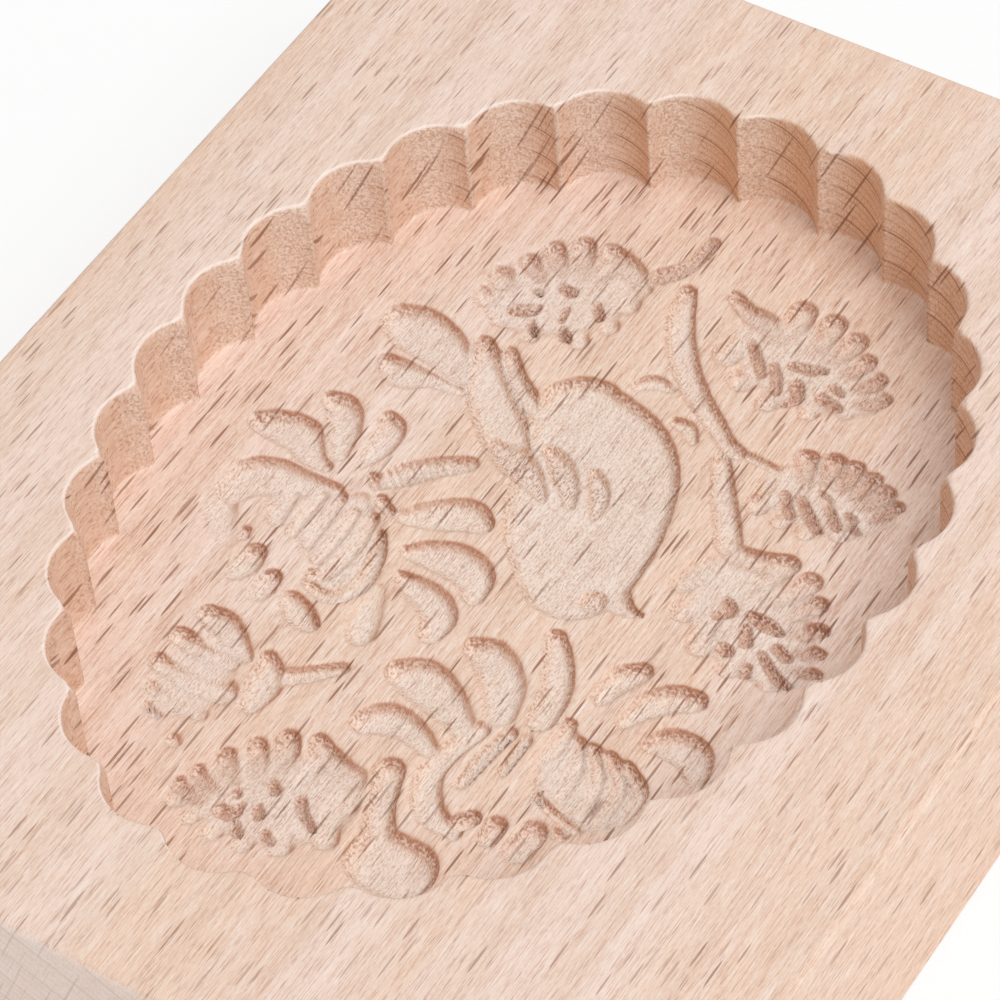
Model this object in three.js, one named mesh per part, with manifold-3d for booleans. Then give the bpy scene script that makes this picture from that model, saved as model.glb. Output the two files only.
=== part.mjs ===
// A springerle cookie mould: one block of beech, grain along Y, with a fluted oval recess
// and a bird among flowers cut as hollows into the floor of the recess.
// Millimetres, +Z up. The origin is the middle of the underside, and +Y is the far end.

import * as THREE from 'three';
import { mergeVertices } from 'three/addons/utils/BufferGeometryUtils.js';
import Module from 'manifold-3d';

const wasm = await Module();
wasm.setup();

// The block of wood.
const BLOCK_LENGTH = 150;
const BLOCK_WIDTH = 117.5;
const BLOCK_HEIGHT = 29.5;
const EDGE_EASE = 0.8;
const CORNER_RADIUS = 1.5;
const CORNER_STEPS = 3;

// The recess that shapes the cookie's edge. Its walls stand upright.
const RECESS_DEPTH = 13.5;
const RECESS_CENTRE = new THREE.Vector2(-1.35, 1.13);
const RECESS_HALF_WIDTH = 42.6;
const RECESS_HALF_LENGTH = 57.3;
const EGG_SHARE = 0.018;
const FLUTES = 30;
const FLUTE_RISE = 2.9;
const FLUTE_STEPS = 5;
const RIM_EASE = 0.5;

const FLOOR = BLOCK_HEIGHT - RECESS_DEPTH;
const CLEARANCE = 1;
const WELD = 1e-5;

// Each hollow is one gouge cut: its depth, the share of the depth lost from the first
// station to the last, and its stations as [x, y, half width].
const cut = (depth, fade, ...stations) => ({ depth, fade, stations });

// The rose on the left: outer petals, the ribbed cup in the middle, sepals and stem.
const ROSE = [
  cut(1.6, 0.4, [-31.2, 8.7, 1.3], [-29.2, 8.0, 2.3], [-27.4, 5.6, 2.2], [-26.0, 2.4, 1.3]),
  cut(1.6, 0.5, [-24.0, 9.4, 1.2], [-22.9, 8.1, 2.0], [-22.5, 5.4, 1.8], [-23.0, 2.6, 1.1]),
  cut(1.7, 0.4, [-36.6, 2.0, 1.4], [-34.4, 2.4, 2.5], [-31.2, 2.5, 2.8], [-28.6, 0.8, 1.9],
    [-26.2, 0.0, 1.0]),
  cut(1.5, 0.4, [-6.6, 1.6, 1.6], [-8.8, 1.7, 2.6], [-12.0, -0.2, 2.3], [-14.6, -1.8, 1.2]),
  cut(1.6, 0.4, [-1.9, -7.4, 1.5], [-3.2, -5.2, 2.5], [-5.9, -4.4, 2.8], [-9.0, -4.9, 2.2],
    [-11.6, -5.8, 1.0]),
  cut(1.5, 0.4, [-3.2, -14.0, 1.7], [-3.6, -11.8, 2.3], [-5.7, -10.2, 2.3], [-8.6, -9.6, 1.7],
    [-10.4, -9.0, 0.8]),
  cut(1.6, 0.4, [-33.4, -8.0, 2.2], [-32.6, -5.4, 3.0], [-30.4, -4.2, 3.0], [-27.0, -3.4, 2.2],
    [-23.4, -2.4, 1.2]),
  cut(1.0, 0.6, [-33.2, -10.4, 2.2], [-32.0, -12.2, 2.2], [-30.0, -14.0, 1.6]),
  cut(0.9, 0.4, [-9.6, -18.0, 1.9], [-10.4, -15.6, 2.0], [-11.4, -12.0, 1.2]),
  cut(1.5, 0.4, [-27.6, -4.6, 1.3], [-27.4, -7.0, 1.8], [-26.6, -9.2, 1.1]),
  cut(0.8, 0.2, [-24.6, -3.6, 1.8], [-23.6, -6.4, 3.4], [-21.0, -8.0, 3.6], [-18.6, -10.0, 3.0]),
  cut(0.8, 0.0, [-20.0, -3.0, 2.2], [-18.0, -6.0, 3.0], [-16.0, -10.0, 3.2], [-16.4, -13.2, 2.4]),
  cut(1.5, 0.2, [-24.6, -3.0, 0.8], [-24.7, -6.4, 1.2], [-24.2, -9.8, 0.8]),
  cut(1.5, 0.2, [-22.3, -2.8, 0.8], [-22.2, -6.6, 1.2], [-21.8, -10.2, 0.8]),
  cut(1.5, 0.2, [-20.0, -3.4, 0.8], [-19.7, -7.2, 1.2], [-19.8, -11.4, 0.9]),
  cut(1.5, 0.2, [-17.6, -3.6, 0.9], [-17.2, -7.6, 1.3], [-17.6, -12.2, 1.1], [-19.0, -13.6, 0.8]),
  cut(1.8, 0.2, [-15.4, -5.2, 0.7], [-14.2, -8.8, 1.5], [-13.9, -12.6, 1.6], [-15.8, -15.0, 1.5],
    [-18.6, -14.8, 0.8]),
  cut(1.2, 0.0, [-18.2, -1.0, 0.9], [-16.4, -2.0, 0.8]),
  cut(1.5, 0.5, [-26.0, -14.2, 1.5], [-26.2, -16.0, 2.1], [-26.4, -17.6, 1.4]),
  cut(1.5, 0.5, [-22.5, -16.2, 1.3], [-22.6, -17.8, 1.8], [-22.6, -19.0, 1.2]),
  cut(1.6, 0.3, [-14.9, -19.6, 1.0], [-16.9, -18.9, 1.9], [-18.9, -17.8, 1.5]),
  cut(1.3, 0.0, [-28.8, -11.9, 0.6], [-28.5, -13.0, 0.6]),
  cut(1.3, 0.1, [-12.4, 8.2, 1.3], [-15.0, 6.2, 1.7], [-17.6, 3.5, 1.9], [-19.3, 1.5, 1.4]),
  cut(1.5, 0.0, [-20.7, 1.4, 0.7], [-19.6, 0.4, 0.8]),
];

// The bird: body and head, beak, two tail fans, the far wing, three feathers of the near
// wing, the eye and the two feet on the branch.
const BIRD = [
  cut(1.7, 0.0, [-5.5, 20.5, 5.8], [0.0, 15.5, 8.8], [2.5, 9.0, 9.4], [5.0, 3.0, 7.7],
    [6.2, 0.0, 6.0]),
  cut(1.5, 0.5, [11.0, 0.0, 2.4], [13.4, -0.9, 1.2], [15.4, -0.9, 0.4]),
  cut(1.6, 0.35, [-30.8, 22.6, 2.8], [-28.2, 22.3, 3.7], [-24.2, 21.2, 3.2], [-20.4, 19.2, 2.0]),
  cut(1.3, 0.35, [-28.6, 16.4, 1.6], [-26.4, 15.8, 2.4], [-22.8, 16.8, 1.5], [-19.2, 16.9, 0.9]),
  cut(2.0, 0.1, [-20.6, 24.2, 1.3], [-18.2, 20.8, 2.6], [-14.8, 17.2, 3.2], [-11.2, 13.8, 3.2],
    [-8.0, 11.0, 2.5]),
  cut(1.5, 0.2, [-17.4, 24.4, 1.0], [-14.6, 21.7, 1.2], [-11.0, 19.2, 1.4], [-6.5, 17.4, 1.2],
    [-3.6, 16.2, 0.6]),
  cut(2.6, 0.15, [-10.5, 12.3, 1.4], [-8.0, 10.8, 2.7], [-5.2, 8.9, 2.5], [-3.0, 7.7, 1.0]),
  cut(2.7, 0.15, [-5.6, 14.0, 1.3], [-3.4, 12.8, 2.3], [-1.0, 10.4, 2.2], [0.6, 8.2, 1.1]),
  cut(2.6, 0.15, [0.3, 13.8, 1.1], [2.0, 12.0, 2.2], [3.2, 9.8, 1.9], [3.8, 8.2, 0.9]),
  cut(2.3, 0.0, [9.4, -1.9, 1.2], [9.8, -1.9, 1.2]),
  cut(1.0, 0.2, [-2.2, 27.3, 0.9], [-0.9, 28.6, 1.2], [1.3, 28.7, 0.8]),
  cut(1.0, 0.2, [4.4, 24.7, 0.9], [6.0, 24.5, 1.2], [7.4, 23.2, 0.8]),
];

// The branch that the bird sits on, with its twig and the stalk of the right-hand leaf.
const BRANCH = [
  cut(1.3, 0.0, [-4.6, 42.2, 1.3], [-2.6, 37.2, 1.9], [0.6, 32.8, 1.9], [4.2, 29.4, 1.7],
    [8.0, 26.8, 1.4], [10.8, 24.8, 1.2], [12.8, 24.2, 1.0]),
  cut(0.9, 0.2, [12.8, 24.4, 0.6], [16.0, 24.2, 0.7], [18.4, 24.0, 0.6]),
  cut(1.2, 0.0, [11.5, 22.5, 1.2], [14.0, 18.6, 1.6], [16.4, 15.4, 1.7], [18.4, 12.4, 1.8]),
];

// Five lobed leaves: scoops round the border, and the pockets between the veins.
const RIGHT_LEAF = [
  cut(0.7, 0.0, [20.6, 9.4, 2.2], [23.6, 6.8, 4.6], [28.2, 3.0, 5.4], [32.4, 0.6, 2.6]),
  cut(1.5, 0.4, [25.4, 12.9, 1.7], [22.8, 11.8, 1.8], [19.6, 11.4, 1.7]),
  cut(1.4, 0.7, [24.8, 12.2, 2.1], [24.0, 10.0, 2.4], [23.8, 8.0, 1.6]),
  cut(1.5, 0.65, [28.8, 12.0, 1.6], [27.6, 9.6, 1.9], [26.4, 7.8, 1.5]),
  cut(1.5, 0.65, [31.1, 9.7, 1.4], [29.6, 7.8, 1.7], [28.6, 6.8, 1.3]),
  cut(1.5, 0.65, [33.1, 6.8, 1.1], [31.6, 5.8, 1.5], [30.4, 5.2, 1.2]),
  cut(1.4, 0.6, [34.6, 3.9, 0.9], [33.2, 3.6, 1.3], [32.2, 3.6, 1.0]),
  cut(1.3, 0.6, [35.7, 1.4, 0.7], [34.4, 1.2, 1.1], [33.2, 1.2, 0.9]),
  cut(1.2, 0.5, [16.8, 5.0, 1.5], [18.0, 7.4, 2.0], [18.8, 9.8, 1.6]),
  cut(1.2, 0.6, [18.9, 1.9, 1.7], [19.6, 4.2, 1.7], [19.8, 6.2, 1.1]),
  cut(1.2, 0.6, [22.9, -1.1, 1.9], [22.4, 1.4, 1.9], [21.4, 3.0, 1.2]),
  cut(1.2, 0.6, [27.1, -2.4, 1.5], [27.0, -0.8, 1.3]),
  cut(1.1, 0.5, [31.6, -2.1, 1.3], [33.6, -1.4, 1.0]),
  cut(1.9, 0.2, [22.0, 6.0, 0.6], [23.0, 4.9, 1.1], [22.2, 3.6, 0.8]),
  cut(2.0, 0.0, [25.4, 5.5, 0.8], [27.4, 5.1, 1.2], [29.2, 4.8, 0.7]),
  cut(1.8, 0.0, [25.8, 3.6, 0.8], [26.8, 1.8, 0.9]),
  cut(1.8, 0.0, [25.1, 0.0, 1.1], [25.5, -0.1, 1.1]),
  cut(1.9, 0.0, [30.0, 2.9, 0.8], [31.6, 2.2, 0.8]),
  cut(2.0, 0.0, [29.0, 1.4, 0.6], [31.2, -0.2, 0.8], [33.3, -1.2, 0.7]),
  cut(1.9, 0.0, [28.5, -1.0, 0.8], [28.9, -2.2, 0.8]),
];
const TWIG_LEAF = [
  cut(0.7, 0.0, [20.4, 22.6, 2.8], [24.0, 22.9, 4.2], [27.6, 23.0, 4.0], [30.4, 23.8, 1.9]),
  cut(1.5, 0.6, [19.8, 27.1, 1.6], [20.8, 25.2, 1.5], [21.6, 24.0, 1.0]),
  cut(1.6, 0.6, [22.6, 28.2, 1.5], [22.9, 26.2, 1.3], [23.0, 25.0, 0.9]),
  cut(1.6, 0.6, [25.1, 28.4, 1.4], [25.1, 26.2, 1.3], [24.9, 25.2, 0.9]),
  cut(1.5, 0.6, [27.5, 28.0, 1.3], [27.2, 25.8, 1.2], [26.8, 24.8, 0.9]),
  cut(1.5, 0.6, [29.7, 27.0, 1.3], [29.0, 25.2, 1.2], [28.4, 24.2, 0.9]),
  cut(1.5, 0.6, [31.6, 25.8, 1.1], [30.6, 24.2, 1.2], [30.0, 23.2, 0.8]),
  cut(1.8, 0.0, [19.9, 22.1, 0.6], [21.9, 19.6, 0.8]),
  cut(1.9, 0.0, [21.9, 22.2, 0.7], [24.0, 20.4, 0.8], [25.8, 18.9, 0.7]),
  cut(1.8, 0.0, [24.9, 22.9, 0.6], [27.2, 20.6, 0.8]),
  cut(1.7, 0.0, [27.3, 22.9, 0.5], [28.4, 22.4, 0.6]),
  cut(1.7, 0.0, [28.4, 21.6, 0.6], [29.6, 20.9, 0.6]),
  cut(1.3, 0.0, [23.4, 24.2, 0.5], [24.9, 23.6, 0.5]),
  cut(1.2, 0.5, [18.3, 18.8, 1.7], [19.2, 20.6, 1.2]),
  cut(1.1, 0.5, [21.6, 18.2, 1.5], [22.4, 19.6, 1.1]),
  cut(1.1, 0.5, [24.8, 18.0, 1.4], [25.6, 19.2, 1.1]),
  cut(1.0, 0.5, [28.2, 19.4, 1.2], [28.6, 20.4, 0.9]),
];
const FAR_RIGHT_LEAF = [
  cut(0.6, 0.0, [5.6, 40.0, 2.2], [10.0, 39.4, 4.6], [15.4, 38.8, 4.8], [19.8, 38.0, 2.6]),
  cut(1.4, 0.4, [0.3, 44.3, 0.9], [3.0, 43.0, 1.4], [6.0, 42.4, 1.8], [8.4, 41.4, 1.5]),
  cut(1.4, 0.65, [8.4, 46.0, 1.9], [8.8, 43.4, 2.0], [9.2, 41.2, 1.5]),
  cut(1.5, 0.65, [12.4, 46.0, 1.8], [12.4, 43.2, 1.9], [12.2, 41.4, 1.3]),
  cut(1.5, 0.65, [15.9, 44.9, 1.6], [15.2, 42.6, 1.7], [14.8, 41.2, 1.2]),
  cut(1.5, 0.65, [18.4, 42.9, 1.3], [17.6, 41.2, 1.5], [17.0, 40.2, 1.1]),
  cut(1.5, 0.6, [20.9, 41.0, 1.3], [19.8, 39.8, 1.4], [19.0, 39.0, 1.0]),
  cut(1.5, 0.5, [22.8, 38.7, 1.2], [21.4, 37.8, 1.3], [20.4, 37.6, 1.0]),
  cut(1.2, 0.6, [4.2, 36.3, 2.0], [4.8, 38.6, 1.6], [4.8, 40.6, 1.0]),
  cut(1.2, 0.6, [7.6, 33.8, 2.0], [9.0, 35.6, 1.6]),
  cut(1.1, 0.6, [11.6, 32.3, 1.7], [12.0, 33.6, 1.3]),
  cut(1.1, 0.6, [16.4, 33.3, 1.5], [16.6, 34.6, 1.2]),
  cut(1.0, 0.6, [20.0, 35.3, 1.4], [19.6, 36.4, 1.0]),
  cut(1.9, 0.0, [11.0, 38.8, 0.6], [13.0, 39.2, 0.9], [14.8, 39.9, 0.5]),
  cut(1.8, 0.0, [16.8, 38.2, 0.7], [18.0, 37.8, 0.6]),
  cut(1.9, 0.0, [16.4, 36.2, 0.9], [18.8, 35.7, 0.8]),
  cut(1.9, 0.0, [12.9, 36.6, 1.0], [14.0, 35.0, 1.0], [13.6, 33.2, 0.8]),
  cut(1.7, 0.2, [9.4, 37.8, 0.7], [10.6, 36.2, 0.9], [11.6, 34.4, 0.8]),
  cut(1.7, 0.2, [5.4, 39.6, 0.6], [7.0, 38.0, 0.9], [8.8, 36.0, 0.9]),
];
const FAR_LEFT_LEAF = [
  cut(0.6, 0.0, [-11.4, 38.6, 2.8], [-15.6, 36.6, 5.0], [-19.6, 34.2, 5.0], [-22.4, 32.4, 2.6]),
  cut(1.5, 0.4, [-15.6, 43.4, 1.5], [-12.4, 42.2, 1.9], [-9.6, 40.4, 1.6]),
  cut(1.3, 0.65, [-14.6, 42.2, 2.0], [-14.6, 40.0, 1.9], [-14.8, 38.4, 1.3]),
  cut(1.5, 0.65, [-18.8, 42.6, 1.6], [-17.6, 40.6, 1.8], [-17.0, 38.8, 1.3]),
  cut(1.5, 0.65, [-21.5, 40.5, 1.5], [-19.8, 39.0, 1.7], [-18.8, 37.8, 1.2]),
  cut(1.4, 0.6, [-23.0, 37.6, 1.4], [-21.2, 36.6, 1.6], [-20.2, 36.0, 1.1]),
  cut(1.4, 0.6, [-24.4, 33.9, 2.0], [-22.4, 33.8, 1.7]),
  cut(1.2, 0.6, [-24.4, 30.6, 1.8], [-22.6, 31.4, 1.4]),
  cut(1.0, 0.6, [-21.3, 28.5, 1.5], [-20.2, 29.6, 1.1]),
  cut(1.2, 0.6, [-9.8, 37.4, 1.9], [-11.4, 37.4, 1.5]),
  cut(0.9, 0.5, [-9.8, 33.4, 1.6], [-11.0, 33.6, 1.2]),
  cut(0.9, 0.5, [-11.6, 29.8, 1.5], [-12.2, 31.0, 1.1]),
  cut(0.9, 0.5, [-16.8, 27.8, 1.3], [-16.6, 28.8, 1.0]),
  cut(2.1, 0.0, [-17.6, 36.4, 0.8], [-16.4, 36.2, 0.8]),
  cut(1.7, 0.0, [-20.2, 34.5, 0.5], [-19.5, 34.3, 0.5]),
  cut(2.2, 0.0, [-20.9, 30.8, 0.9], [-19.3, 31.4, 1.1], [-18.6, 32.3, 0.6]),
  cut(1.8, 0.0, [-18.2, 30.0, 0.5], [-16.8, 28.8, 0.6]),
  cut(1.9, 0.0, [-14.4, 30.8, 0.5], [-13.0, 29.4, 0.8]),
  cut(1.7, 0.0, [-13.0, 36.0, 0.6], [-11.6, 34.4, 0.8]),
  cut(1.6, 0.0, [-15.6, 33.8, 0.5], [-15.2, 32.0, 0.5]),
  cut(1.3, 0.1, [-6.0, 50.2, 1.1], [-6.2, 47.2, 1.1], [-7.0, 44.8, 1.3], [-8.6, 42.8, 1.4]),
];
const NEAR_LEAF = [
  cut(0.6, 0.0, [0.4, -37.4, 2.8], [-4.0, -40.0, 5.2], [-9.0, -42.4, 5.0], [-12.6, -44.0, 2.6]),
  cut(1.5, 0.4, [-5.4, -32.3, 1.2], [-2.6, -33.8, 1.7], [0.4, -34.6, 1.9]),
  cut(1.3, 0.7, [-4.2, -33.8, 1.9], [-4.2, -36.4, 2.2], [-4.8, -38.2, 1.4]),
  cut(1.5, 0.65, [-8.4, -33.7, 1.5], [-7.4, -35.8, 1.8], [-6.8, -37.6, 1.4]),
  cut(1.5, 0.65, [-10.8, -36.1, 1.3], [-9.4, -37.8, 1.7], [-8.4, -39.4, 1.3]),
  cut(1.4, 0.65, [-12.8, -38.8, 1.3], [-11.4, -40.2, 1.6], [-10.2, -41.2, 1.2]),
  cut(1.4, 0.6, [-14.2, -42.0, 1.1], [-12.4, -42.6, 1.4], [-11.2, -42.8, 1.0]),
  cut(1.4, 0.6, [-15.1, -44.3, 1.1], [-13.4, -44.6, 1.4], [-12.0, -44.6, 1.2]),
  cut(1.1, 0.6, [-14.6, -46.2, 1.2], [-13.0, -45.6, 1.2]),
  cut(1.1, 0.6, [-11.8, -47.0, 1.3], [-11.0, -45.6, 1.4]),
  cut(1.1, 0.6, [-8.6, -47.5, 1.4], [-8.2, -46.2, 1.2]),
  cut(1.0, 0.6, [-5.0, -47.2, 1.5], [-5.0, -45.8, 1.3]),
  cut(1.1, 0.6, [-1.5, -45.5, 1.8], [-2.2, -43.4, 1.6], [-2.8, -41.8, 1.0]),
  cut(1.1, 0.6, [2.1, -42.5, 1.8], [1.0, -40.4, 1.9], [0.0, -38.6, 1.4]),
  cut(1.2, 0.6, [1.6, -37.8, 1.6], [2.0, -35.8, 1.7]),
  cut(2.1, 0.0, [-9.8, -44.6, 1.0], [-8.4, -44.4, 1.0], [-8.1, -43.0, 0.5]),
  cut(1.7, 0.0, [-9.5, -41.8, 0.6], [-9.3, -42.0, 0.6]),
  cut(1.9, 0.0, [-6.9, -39.0, 0.6], [-6.0, -39.6, 0.8]),
  cut(1.9, 0.0, [-6.4, -42.4, 0.7], [-5.7, -43.2, 0.7]),
  cut(1.8, 0.0, [-3.0, -39.4, 0.8], [-1.6, -40.8, 0.7], [0.2, -41.9, 0.5]),
  cut(1.8, 0.0, [-4.0, -44.8, 0.6], [-2.8, -45.4, 0.6]),
  cut(1.8, 0.0, [-7.3, -45.4, 0.6], [-6.2, -46.3, 0.6]),
];

// The closed bud at the lower left, with its calyx and stem.
const BUD = [
  cut(0.7, 0.0, [-22.0, -26.6, 2.6], [-22.4, -30.0, 4.4], [-21.6, -33.4, 4.2]),
  cut(1.5, 0.4, [-25.6, -23.8, 1.4], [-23.2, -24.3, 2.1], [-20.4, -25.6, 1.5], [-18.4, -26.8, 0.8]),
  cut(1.5, 0.3, [-26.6, -27.8, 1.3], [-23.4, -28.2, 1.6], [-19.6, -28.0, 1.2]),
  cut(1.4, 0.2, [-26.4, -31.8, 1.4], [-22.4, -32.2, 1.9], [-18.0, -31.8, 1.9]),
  cut(1.2, 0.4, [-25.2, -35.0, 1.0], [-22.4, -35.6, 1.3], [-18.6, -35.6, 1.2]),
  cut(1.3, 0.2, [-24.2, -37.5, 0.6], [-22.3, -38.0, 0.5]),
  cut(1.0, 0.2, [-19.1, -39.8, 0.9], [-18.7, -39.9, 0.9]),
  cut(1.5, 0.2, [-16.4, -25.8, 1.3], [-15.0, -28.2, 2.4], [-14.6, -31.6, 1.6]),
  cut(1.1, 0.0, [-8.6, -22.8, 0.9], [-10.8, -24.8, 1.2], [-13.0, -26.6, 1.4]),
];

// The open flower at the lower right: petals, the fluted bulb, its beads, and the stalk
// that ends in a round cup.
const OPEN_FLOWER = [
  cut(1.5, 0.4, [19.4, -7.4, 1.4], [18.0, -9.4, 1.9], [17.4, -12.4, 1.4]),
  cut(1.6, 0.4, [26.3, -8.0, 1.6], [24.2, -8.9, 2.1], [22.2, -11.2, 1.9], [21.2, -14.0, 1.1]),
  cut(1.7, 0.2, [31.4, -16.4, 1.5], [29.9, -14.4, 2.4], [27.2, -14.1, 2.3], [25.2, -15.2, 1.2]),
  cut(1.4, 0.1, [9.0, -8.0, 1.3], [11.0, -10.8, 1.9], [12.8, -14.2, 2.0], [13.4, -18.0, 1.9]),
  cut(1.5, 0.4, [2.0, -13.4, 1.5], [4.6, -13.8, 2.6], [7.6, -16.4, 2.7], [9.4, -19.6, 1.9]),
  cut(1.6, 0.4, [-3.0, -20.2, 1.9], [-0.2, -20.0, 3.1], [3.2, -21.2, 2.7], [6.6, -23.0, 1.8]),
  cut(1.5, 0.4, [-2.8, -27.8, 1.7], [-0.8, -26.2, 2.4], [2.2, -26.2, 2.0], [5.6, -27.4, 1.2]),
  cut(1.3, 0.2, [13.4, -35.2, 1.1], [9.6, -34.0, 1.9], [7.2, -30.4, 1.8], [7.4, -26.4, 1.5],
    [8.6, -22.4, 1.3]),
  cut(1.4, 0.2, [10.6, -29.4, 1.0], [10.9, -25.4, 1.1], [11.6, -21.4, 1.0]),
  cut(1.3, 0.2, [13.6, -26.0, 0.8], [13.5, -21.0, 0.9]),
  cut(0.8, 0.0, [17.0, -19.0, 1.8], [18.4, -22.4, 3.2], [21.6, -24.0, 3.6], [24.4, -26.0, 2.8]),
  cut(0.8, 0.0, [21.0, -20.0, 2.2], [24.8, -22.0, 3.2], [26.0, -25.0, 2.6]),
  cut(1.3, 0.4, [16.4, -17.2, 0.9], [17.0, -21.0, 1.3], [17.4, -25.0, 1.0]),
  cut(1.5, 0.3, [18.6, -18.6, 0.7], [20.0, -21.6, 1.1], [20.6, -25.6, 1.1]),
  cut(1.6, 0.3, [20.2, -18.6, 0.7], [22.6, -21.6, 1.2], [23.4, -26.6, 1.1]),
  cut(1.7, 0.3, [22.4, -18.6, 0.7], [25.2, -21.4, 1.2], [25.8, -26.4, 1.2]),
  cut(1.7, 0.3, [24.6, -18.8, 0.7], [27.4, -21.2, 1.1], [27.5, -25.0, 1.0]),
  cut(1.5, 0.2, [18.2, -26.8, 0.6], [21.2, -27.8, 0.8], [24.2, -28.4, 0.9]),
  cut(1.8, 0.3, [14.0, -32.8, 1.2], [12.8, -34.2, 1.1]),
  cut(1.5, 0.3, [16.7, -32.4, 1.5], [16.8, -34.0, 1.4]),
  cut(1.6, 0.3, [20.6, -31.2, 1.8], [20.4, -33.8, 2.0]),
  cut(1.4, 0.0, [23.0, -30.0, 0.9], [23.4, -29.6, 0.8]),
  cut(1.8, 0.0, [8.6, -41.8, 4.1], [11.2, -41.8, 4.1]),
  cut(1.6, 0.0, [3.2, -31.8, 1.9], [4.8, -36.0, 1.8], [6.8, -39.4, 2.0]),
];

const MOTIF = [
  ROSE,
  BIRD,
  BRANCH,
  RIGHT_LEAF,
  TWIG_LEAF,
  FAR_RIGHT_LEAF,
  FAR_LEFT_LEAF,
  NEAR_LEAF,
  BUD,
  OPEN_FLOWER,
].flat();

// How full a cross-section of a cut is. At 1 its bottom would be half an ellipse, and lower
// values give a flatter bottom between steeper sides.
const FULLNESS = 0.6;

// How finely a cut is faceted, by its largest half width.
const FACETING = [
  { upTo: 1.55, across: 3, along: 3.6, cap: 1 },
  { upTo: 3.0, across: 4, along: 3.4, cap: 1 },
  { upTo: Infinity, across: 6, along: 3.2, cap: 2 },
];

// Turns a closed geometry into a solid that can be joined and cut.
function toSolid(geometry) {
  const bare = geometry.clone();
  bare.deleteAttribute('normal');
  bare.deleteAttribute('uv');
  const merged = mergeVertices(bare, WELD);
  const corners = Array.from(merged.index.array);
  const kept = [];
  for (let i = 0; i < corners.length; i += 3) {
    const [a, b, c] = corners.slice(i, i + 3);
    if (a !== b && b !== c && c !== a) kept.push(a, b, c);
  }
  const mesh = new wasm.Mesh({
    numProp: 3,
    vertProperties: new Float32Array(merged.attributes.position.array),
    triVerts: new Uint32Array(kept),
  });
  return new wasm.Manifold(mesh);
}

// Turns a solid back into a geometry.
function toGeometry(solid) {
  const { vertProperties, triVerts } = solid.getMesh();
  const geometry = new THREE.BufferGeometry();
  geometry.setAttribute('position', new THREE.BufferAttribute(vertProperties, 3));
  geometry.setIndex(new THREE.BufferAttribute(triVerts, 1));
  geometry.computeVertexNormals();
  return geometry;
}

// Skins a row of closed rings of equal length. A ring runs anticlockwise when it is seen
// from the rings that follow it. With caps, each end closes on the middle of its ring.
function skin(rings, caps) {
  const size = rings[0].length;
  const points = rings.flat();
  const faces = [];
  for (let r = 0; r + 1 < rings.length; r += 1) {
    for (let i = 0; i < size; i += 1) {
      const next = (i + 1) % size;
      const low = r * size;
      const high = low + size;
      faces.push(low + i, low + next, high + next, low + i, high + next, high + i);
    }
  }
  if (caps) {
    const last = (rings.length - 1) * size;
    const middle = (ring) => ring
      .reduce((sum, p) => sum.add(p), new THREE.Vector3())
      .divideScalar(size);
    const start = points.push(middle(rings[0])) - 1;
    const end = points.push(middle(rings.at(-1))) - 1;
    for (let i = 0; i < size; i += 1) {
      const next = (i + 1) % size;
      faces.push(start, next, i, end, last + i, last + next);
    }
  }
  const geometry = new THREE.BufferGeometry().setFromPoints(points);
  geometry.setIndex(faces);
  return geometry;
}

// The plain block, its corners rounded and its top and bottom edges eased by a plane.
function blockSolid() {
  const x = BLOCK_WIDTH / 2 - EDGE_EASE;
  const y = BLOCK_LENGTH / 2 - EDGE_EASE;
  const r = CORNER_RADIUS - EDGE_EASE;
  const quarter = Math.PI / 2;
  const outline = new THREE.Shape();
  outline.absarc(x - r, y - r, r, 0, quarter);
  outline.absarc(-x + r, y - r, r, quarter, 2 * quarter);
  outline.absarc(-x + r, -y + r, r, 2 * quarter, 3 * quarter);
  outline.absarc(x - r, -y + r, r, 3 * quarter, 4 * quarter);
  const geometry = new THREE.ExtrudeGeometry(outline, {
    depth: BLOCK_HEIGHT - 2 * EDGE_EASE,
    curveSegments: CORNER_STEPS,
    bevelThickness: EDGE_EASE,
    bevelSize: EDGE_EASE,
    bevelSegments: 1,
  });
  return toSolid(geometry.translate(0, 0, EDGE_EASE));
}

// The smooth oval through the points between the flutes. The turn runs from the far end
// towards +X, and the oval is a little fuller at the far end, as an egg is.
function oval(turn) {
  const reach = 1 - EGG_SHARE * Math.cos(3 * turn);
  return new THREE.Vector2(
    RECESS_CENTRE.x + RECESS_HALF_WIDTH * reach * Math.sin(turn),
    RECESS_CENTRE.y + RECESS_HALF_LENGTH * reach * Math.cos(turn),
  );
}

// Points at equal steps of length round the oval, with a flute's middle at the far end.
function flutePoints() {
  const samples = 1440;
  const lengths = [0];
  for (let i = 1; i <= samples; i += 1) {
    const before = oval((i - 1) * 2 * Math.PI / samples);
    lengths.push(lengths[i - 1] + oval(i * 2 * Math.PI / samples).distanceTo(before));
  }
  return Array.from({ length: FLUTES }, (_, k) => {
    const wanted = (k + 0.5) / FLUTES * lengths[samples];
    const i = lengths.findIndex((length) => length > wanted);
    const share = (wanted - lengths[i - 1]) / (lengths[i] - lengths[i - 1]);
    return oval((i - 1 + share) * 2 * Math.PI / samples);
  });
}

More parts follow.
